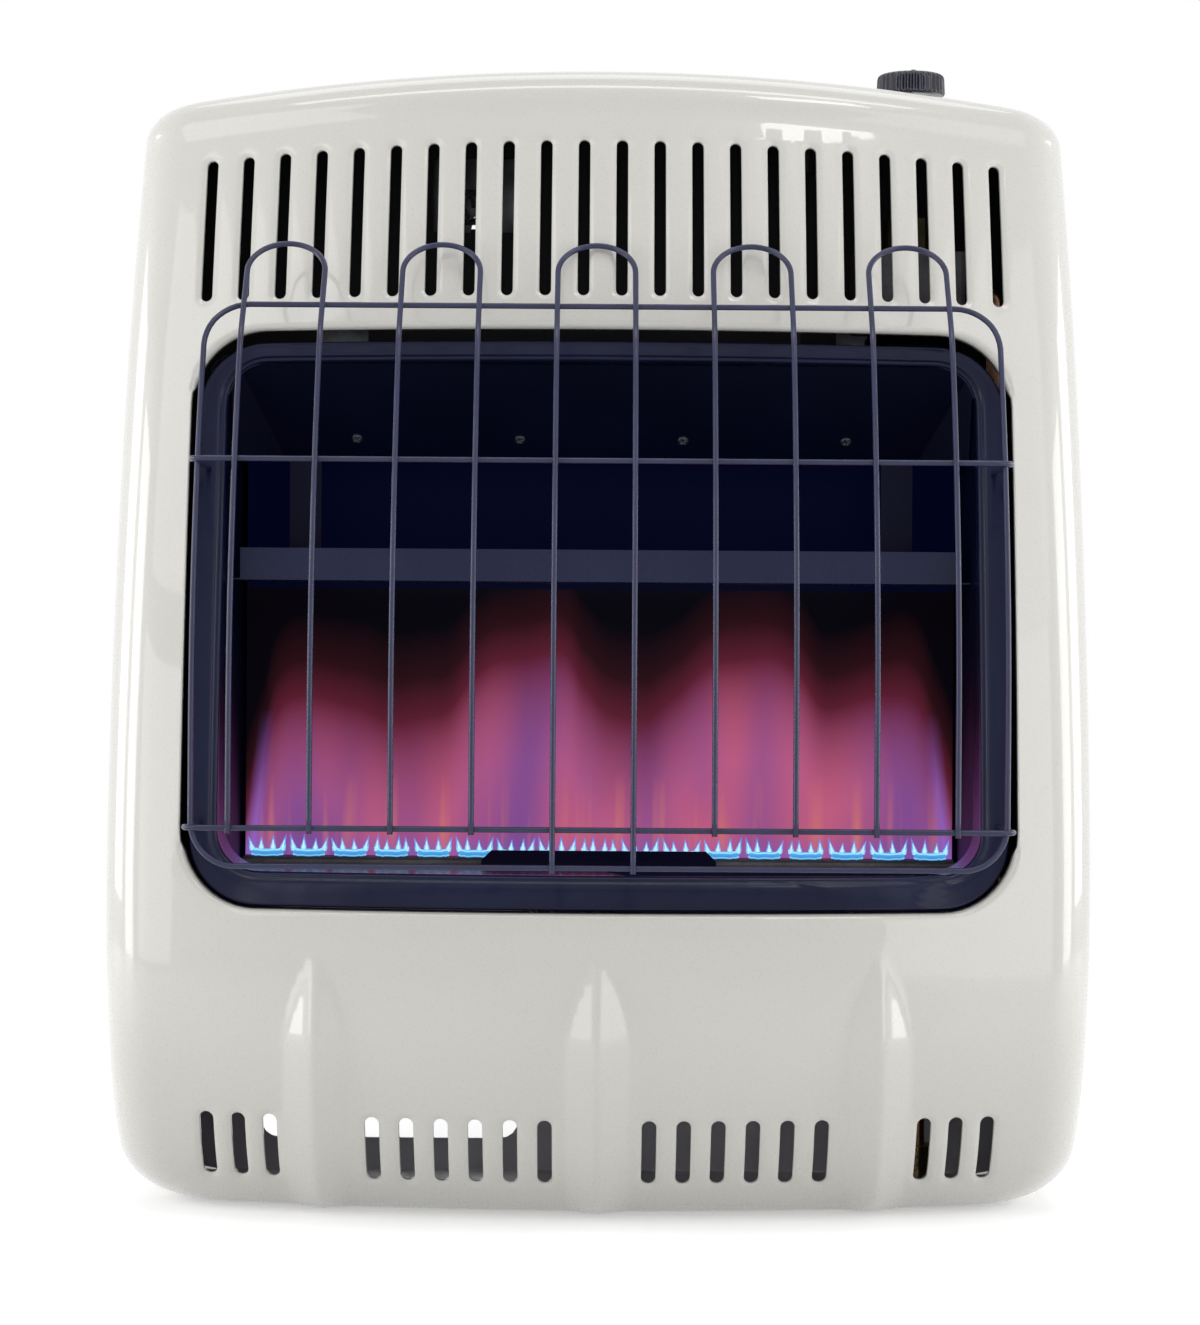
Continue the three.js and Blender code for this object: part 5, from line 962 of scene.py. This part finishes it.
def make_knob():
    radius, base, cap = KNOB_RADIUS, KNOB_BASE, KNOB_TOP
    # Radius, height and depth of the flutes at each level.
    levels = [(4.3, cap - 5, 0), (4.3, base + 0.4, 0), (4.7, base, 0)]
    levels += [(radius - 0.9, base, 0.6), (radius - 0.2, base + 0.5, 0.9)]
    levels += [(radius - 0.1 * k, base + 1.2 + 2.2 * k, 2.0) for k in range(5)]
    levels += [(radius - 0.7, cap - 2.9, 1.5), (radius - 1.3, cap - 2.1, 0.6)]
    levels += [(radius - 2.2, cap - 1.5, 0.1), (radius - 3.2, cap - 1.2, 0)]
    levels += [(radius * share, cap - 0.1 - 1.1 * share ** 2, 0) for share in (0.72, 0.5, 0.25)]
    rows = [knob_ring(*entry) for entry in levels]
    verts, faces = strip(rows, closed=True)
    count = len(rows[0])
    verts += [place(*KNOB, cap - 0.1), place(*KNOB, cap - 5)]
    top, bore = len(verts) - 2, len(verts) - 1
    faces += fan(top - count, count, top) + [(b, a, tip) for a, b, tip in fan(0, count, bore)]
    x, depth = KNOB
    pointer = rounded_bar((x - 1.5, x + 1.5), (depth + 5, depth + radius - 3.2), (cap - 2.6, cap - 0.6), 0.4)
    knob = merged([(verts, faces), pointer])
    new_piece("knob", *knob, knob_plastic, "black_plastic", ["control_knob"], body="dial")


def rounded_bar(xs, depths, zs, bevel):
    """A bar with its edges taken off, between limits in millimetres."""
    rows = []
    for z, inset in ((zs[0], bevel), (zs[0] + bevel, 0), (zs[1] - bevel, 0),
                     (zs[1] - 0.3 * bevel, 0.3 * bevel), (zs[1], bevel)):
        left, right, near, far = xs[0] + inset, xs[1] - inset, depths[0] + inset, depths[1] - inset
        rows.append([place(*p, z) for p in (
            (left + bevel, near), (right - bevel, near), (right, near + bevel), (right, far - bevel),
            (right - bevel, far), (left + bevel, far), (left, far - bevel), (left, near + bevel))])
    verts, faces = strip(rows, closed=True)
    faces = [tuple(reversed(face)) for face in faces]
    faces.append(tuple(range(8)))
    faces.append(tuple(reversed(range(len(verts) - 8, len(verts)))))
    return verts, faces


# ---- screws ----

def screw_head(middle, facing, radius, height, sides=32):
    """A pan head with a cross recess, standing on the surface at middle."""
    axis = Vector(facing).normalized()
    side = axis.orthogonal().normalized()
    other = axis.cross(side)
    levels = [(1.0, 0.0), (1.0, 0.35), (0.96, 0.62), (0.86, 0.82), (0.72, 0.93), (0.56, 0.98),
              (0.42, 1.0), (0.3, 1.0), (0.18, 1.0), (0.08, 1.0)]
    rings = []
    for share, rise in levels:
        ring = []
        for c, s in circle(sides):
            x, y = share * c, share * s
            sunk = max(0.0, min(1.0, (0.14 - min(abs(x), abs(y))) / 0.05)) * (share < 0.6)
            lift = rise - 0.55 * sunk * (1 - 0.6 * share)
            ring.append(Vector(middle) + (side * x + other * y) * radius + axis * height * lift)
        rings.append(ring)
    verts, faces = strip(rings, closed=True)
    verts.append(Vector(middle) + axis * height * 0.45)
    faces += fan(len(verts) - 1 - sides, sides, len(verts) - 1)
    faces.append(tuple(reversed(range(sides))))
    return verts, faces


HOOD_FOOT, HOOD_BACK, HOOD_SLOPE = 465, 90, (59.7, 57)
HOOD_SCREW_PITCH, HOOD_SCREW_RISE = 103, 14


def make_hood_screws():
    length = hypot(*HOOD_SLOPE)
    facing = (0, -HOOD_SLOPE[1] / length, -HOOD_SLOPE[0] / length)
    depth = HOOD_BACK + HOOD_SLOPE[0] * HOOD_SCREW_RISE / HOOD_SLOPE[1]
    for index in range(4):
        middle = place((index - 1.5) * HOOD_SCREW_PITCH, depth, HOOD_FOOT + HOOD_SCREW_RISE)
        node = f"hood_screw_{index + 1}"
        head = screw_head(middle, facing, 0.0036, 0.0021)
        new_piece(f"hood_screw_head_{index + 1}", *head, dark_screw, "zinc_steel", [node])


def make_casing_screws():
    """The heads sit where the carried-over screws are, so their places are read from those."""
    for index in range(4):
        name = f"casing_screw_{index + 1}"
        node = frame["nodes"][name]
        points = [node.matrix_world @ v.co for v in node.data.vertices]
        outer = max(abs(p.x) for p in points)
        side = 1 if points[0].x > 0 else -1
        proud = [p for p in points if abs(p.x) > outer - 0.0024]
        y, z = [(min(p[i] for p in proud) + max(p[i] for p in proud)) / 2 for i in (1, 2)]
        head = screw_head((side * (outer - 0.0023), y, z), (side, 0, 0), 0.0039, 0.0022)
        new_piece(f"casing_screw_head_{index + 1}", *head, zinc, "zinc_steel", [name])


# ---- flames ----

PORT_PITCH = 26
PORT_COUNT = 17
PORT_DEPTH = 117
BURNER_TOP = 215


def tongue(x, z, radii, height, lean, sides=12, rings=9):
    """A pointed flame standing on (x, z); radii are its half width and half thickness."""
    rows = []
    for i in range(rings):
        share = i / rings
        swell = (1 - share) ** 0.8 * (0.75 + 0.25 * sin(pi * min(share * 2.2, 1)))
        shift = lean * share ** 1.25
        across, deep = radii[0] * swell, radii[1] * swell
        rows.append([place(x + shift + across * c, PORT_DEPTH + deep * s, z + height * share)
                     for c, s in circle(sides)])
    verts, faces = strip(rows, closed=True)
    verts.append(place(x + lean, PORT_DEPTH, z + height))
    faces += fan(len(verts) - 1 - sides, sides, len(verts) - 1)
    faces.append(tuple(reversed(range(sides))))
    return verts, faces


def flame_loop(x, half, z, lift, radius):
    """A thin ring of flame round a slot; its ends lift towards the tall flames there."""
    loop = []
    for k in range(36):
        t = 2 * pi * k / 36
        across = copysign(abs(cos(t)) ** 0.55, cos(t))
        wave = 0.22 * sin(11 * t + x) + lift * abs(across) ** 4
        loop.append(place(x + half * across, PORT_DEPTH + 3.4 * sin(t), z + wave))
    return tube(loop, radius * MM, sides=8, closed=True)


def make_flames():
    rings, curtains, tips, inner = [], [], [], []
    top = BURNER_TOP
    for index in range(PORT_COUNT):
        x = (index - (PORT_COUNT - 1) / 2) * PORT_PITCH
        drift = sin(index * 2.4)
        rings.append(flame_loop(x, 9.7, top + 0.9, 0.5, 0.5))
        rings.append(flame_loop(x, 10.6, top + 4.0, 1.7, 0.45))
        depths = (PORT_DEPTH - 2.4, PORT_DEPTH + 2.4)
        curtains.append(rounded_bar((x - 9.9, x + 9.9), depths, (top + 0.9, top + 4.7), 1.3))
        for k, offset in enumerate((-3.9, 3.5)):
            rise = 12.9 + 1.6 * sin(index * 1.7 + 2.1 * k) - 4
            tips.append(tongue(x + offset + 0.8 * drift, top + 4, (2.1, 1.0), rise, 0.7 * drift))
            inner.append(tongue(x + offset + 0.8 * drift, top + 4.4, (1.45, 1.5), rise * 0.78, 0.45 * drift))
        for side in (-1, 1):
            rise = 13.7 + 1.3 * sin(index * 2.9 + side) - 3.5
            lean = side * (2.8 if index % 5 != 3 else -0.8)
            tips.append(tongue(x + side * 9.3, top + 3.5, (2.2, 1.1), rise, lean))
            inner.append(tongue(x + side * 9.3, top + 3.7, (1.5, 1.6), rise * 0.80, lean * 0.74))
    for name, parts, finish in (("flame_rings", rings, flame_bright), ("flame_curtain", curtains, flame_blue),
                                ("flame_tongues", tips, flame_tongue), ("flame_hearts", inner, flame_heart)):
        new_piece(name, *merged(parts), finish, "burner_steel")


# ---- behind the rear opening and the firebox back ----

PEEP_LEFT, PEEP_WIDTH, PEEP_BOTTOM, PEEP_TOP, PEEP_DEPTH = 110, 54, 624, 668, 12


def make_hanger_plate():
    """The wavy plate and the coiled lead behind the upper rear opening, as seen through the louvres. The
    plate's dim grey is partly painted shade: it also stands in for the wall in shade behind the opening.
    """
    rows = []
    for share in (0, 0.5, 1):
        row = []
        for k in range(25):
            x = -PEEP_LEFT - 2 + (PEEP_WIDTH + 4) * k / 24
            low = PEEP_BOTTOM + (7.5 if 0.45 < k / 24 < 0.6 else -2.5)
            row.append(place(x, PEEP_DEPTH + 2.2 * sin(k * 0.62), low + (PEEP_TOP + 2 - low) * share))
        rows.append(row)
    plate = new_piece("hanger_plate", *strip(rows), hanger_zinc_painted_shade, "zinc_steel")
    thicken(plate, 0.0008)
    turns = []
    for k in range(64):
        t = 2 * pi * k / 24
        turns.append(place(-PEEP_LEFT + 14 + 10.5 * cos(t) + 0.25 * k, PEEP_DEPTH + 5 + 0.05 * k,
                           PEEP_BOTTOM + 13 + 10.5 * sin(t)))
    new_piece("coiled_lead", *tube(turns, 1.3 * MM, sides=10), sleeve, "zinc_steel")


FIREBOX_HALF, FIREBOX_SILL, FIREBOX_HEAD, FIREBOX_DEPTH = 228, 186.6, 521.5, 60


def make_glow_panel():
    """Back of the firebox, lit by the flames in front of it."""
    sides = (-FIREBOX_HALF, FIREBOX_HALF)
    verts, faces = strip([[place(x, FIREBOX_DEPTH, z) for x in sides] for z in (FIREBOX_SILL, FIREBOX_HEAD)])
    verts += [v + Vector((0, 0.0009, 0)) for v in verts]
    faces += [tuple(reversed([i + 4 for i in face])) for face in faces]
    faces += [(b, a, a + 4, b + 4) for a, b in ((0, 1), (1, 3), (3, 2), (2, 0))]
    new_piece("firebox_back_glowing", verts, faces, glow, "black_enamel", ["firebox_back"], smooth=False)


# ---- finish of carried-over pieces ----

CAD_FINISH = {
    "black_enamel": enamel, "guard_wire": wire_enamel, "zinc_steel": zinc, "burner_steel": burner_steel,
    "brass": brass, "copper": copper, "cast_valve": casting, "black_plastic": knob_plastic,
    "ceramic": ceramic, "lead_sleeve": sleeve, "casing_coat": cream,
}
NODE_FINISH = {
    "chassis_back": sill_zinc, "heat_shelf": shelf_enamel_painted_light, "wall_bracket": bracket_zinc,
    "hood_post_left": post_enamel_painted_shade, "hood_post_right": post_enamel_painted_shade, "hood_panel": oven_enamel_painted_shade,
    "firebox_left": oven_enamel_painted_shade, "firebox_right": oven_enamel_painted_shade, "pilot_shield": oven_enamel_painted_shade,
    "valve_bonnet": bonnet_brass_painted_shade, "valve_bracket": valve_bracket_zinc_painted_shade, "burner_bar": dark_bar_steel, "igniter_body": sleeve,
}


def finish_cad_nodes():
    for entry in frame["record"]["subparts"]:
        node = frame["nodes"][entry["node"]]
        node.data.materials.clear()
        node.data.materials.append(NODE_FINISH.get(entry["node"], CAD_FINISH[entry["material_slot"]]))


# ---- stage ----

FLOOR_GREY = (0.80, 0.83)
SEEN_FLOOR = 0.42  # added where the floor is seen, so that it comes out white
WORLD_LIGHT, SEEN_WORLD = 0.45, 0.55


def make_floor():
    tree = new_tree("pale_floor")
    low, high = FLOOR_GREY
    tone = tree.ramp(tree.noise(3), [(0.3, (low,) * 3), (0.7, (high,) * 3)])
    seen = tree.math("MULTIPLY", tree.seen_directly(), SEEN_FLOOR)
    mesh = bpy.data.meshes.new("studio_floor")
    mesh.from_pydata([(-3.5, -3.4, 0), (3.5, -3.4, 0), (3.5, 1.5, 0), (-3.5, 1.5, 0)], [], [(0, 1, 2, 3)])
    mesh.materials.append(tree.finish(Base_Color=tone, Emission_Color=(1, 1, 1), Emission_Strength=seen,
                                      Roughness=0.9))
    floor = add_object("studio_floor", mesh)


# Where each lamp stands, what it is turned to, its width and height, and its power.
LAMPS = {
    "key_softbox": ((-2.1, -2.1, 2.0), (0, 0, 0.35), (1.5, 1.5), 10),
    "fill_softbox": ((2.2, -2.1, 1.9), (0, 0, 0.35), (1.5, 1.5), 7),
    "window_softbox": ((0.82, -1.27, 2.33), (0.1, 0, 0.6), (0.46, 0.30), 2.8),
    "top_strip": ((0, -0.7, 2.4), (0, 0, 0.3), (2.2, 0.25), 7),
    "crown_light": ((0, 0.7, 2.5), (0, 0, 0.6), (2.0, 0.8), 6),
    "left_side": ((-2.3, -0.42, 0.6), (0, -0.1, 0.3), (0.6, 1.2), 10),
    "right_side": ((2.3, -0.42, 0.6), (0, -0.1, 0.3), (0.6, 1.2), 9),
    "left_rim": ((-2.2, 0.5, 0.7), (0, 0, 0.4), (0.7, 1.2), 9),
    "right_rim": ((2.2, 0.5, 0.7), (0, 0, 0.4), (0.7, 1.2), 9),
    "left_strip": ((-2.0, -1.50, 0.45), (0, -0.3, 0.2), (0.9, 0.85), 4),
    "right_strip": ((1.75, -1.95, 0.5), (0, -0.3, 0.3), (1.2, 1.0), 5.5),
}


def make_lights():
    for name, (location, target, size, power) in LAMPS.items():
        data = bpy.data.lights.new(name, "AREA")
        data.shape, data.size, data.size_y, data.energy = "RECTANGLE", *size, power
        lamp = add_object(name, data)
        lamp.location = location
        lamp.rotation_euler = (Vector(target) - Vector(location)).to_track_quat("-Z", "Y").to_euler()
    world = bpy.data.worlds.new("studio")
    bpy.context.scene.world = world
    tree = Tree(world, "Background")
    level = tree.math("MULTIPLY_ADD", tree.seen_directly(), SEEN_WORLD, WORLD_LIGHT)
    tree.finish(Color=(1, 1, 1), Strength=level)


FOCAL_PIXELS, PHOTO_PIXELS = 3237, 1325  # focal length and height of the photo
CAMERA_AWAY, CAMERA_HEIGHT, CAMERA_ROLL = 2.150, 0.338, -0.4  # metres from the wall and up, and degrees
SENSOR = 36


def make_camera():
    data = bpy.data.cameras.new("camera")
    data.sensor_fit, data.sensor_height, data.sensor_width = "VERTICAL", SENSOR, SENSOR
    data.lens = FOCAL_PIXELS / PHOTO_PIXELS * SENSOR
    camera = add_object("camera", data)
    camera.location = (0, WALL_Y - CAMERA_AWAY, CAMERA_HEIGHT)
    camera.rotation_euler = (radians(90), radians(CAMERA_ROLL), 0)
    bpy.context.scene.camera = camera


make_casing()
make_bezel()
make_hairpins()
make_rails()
make_ring()
make_welds()
make_knob()
make_hood_screws()
make_casing_screws()
make_hanger_plate()
make_glow_panel()
make_flames()
finish_cad_nodes()
make_floor()
make_lights()
make_camera()
bpy.context.scene.view_settings.view_transform = "Standard"
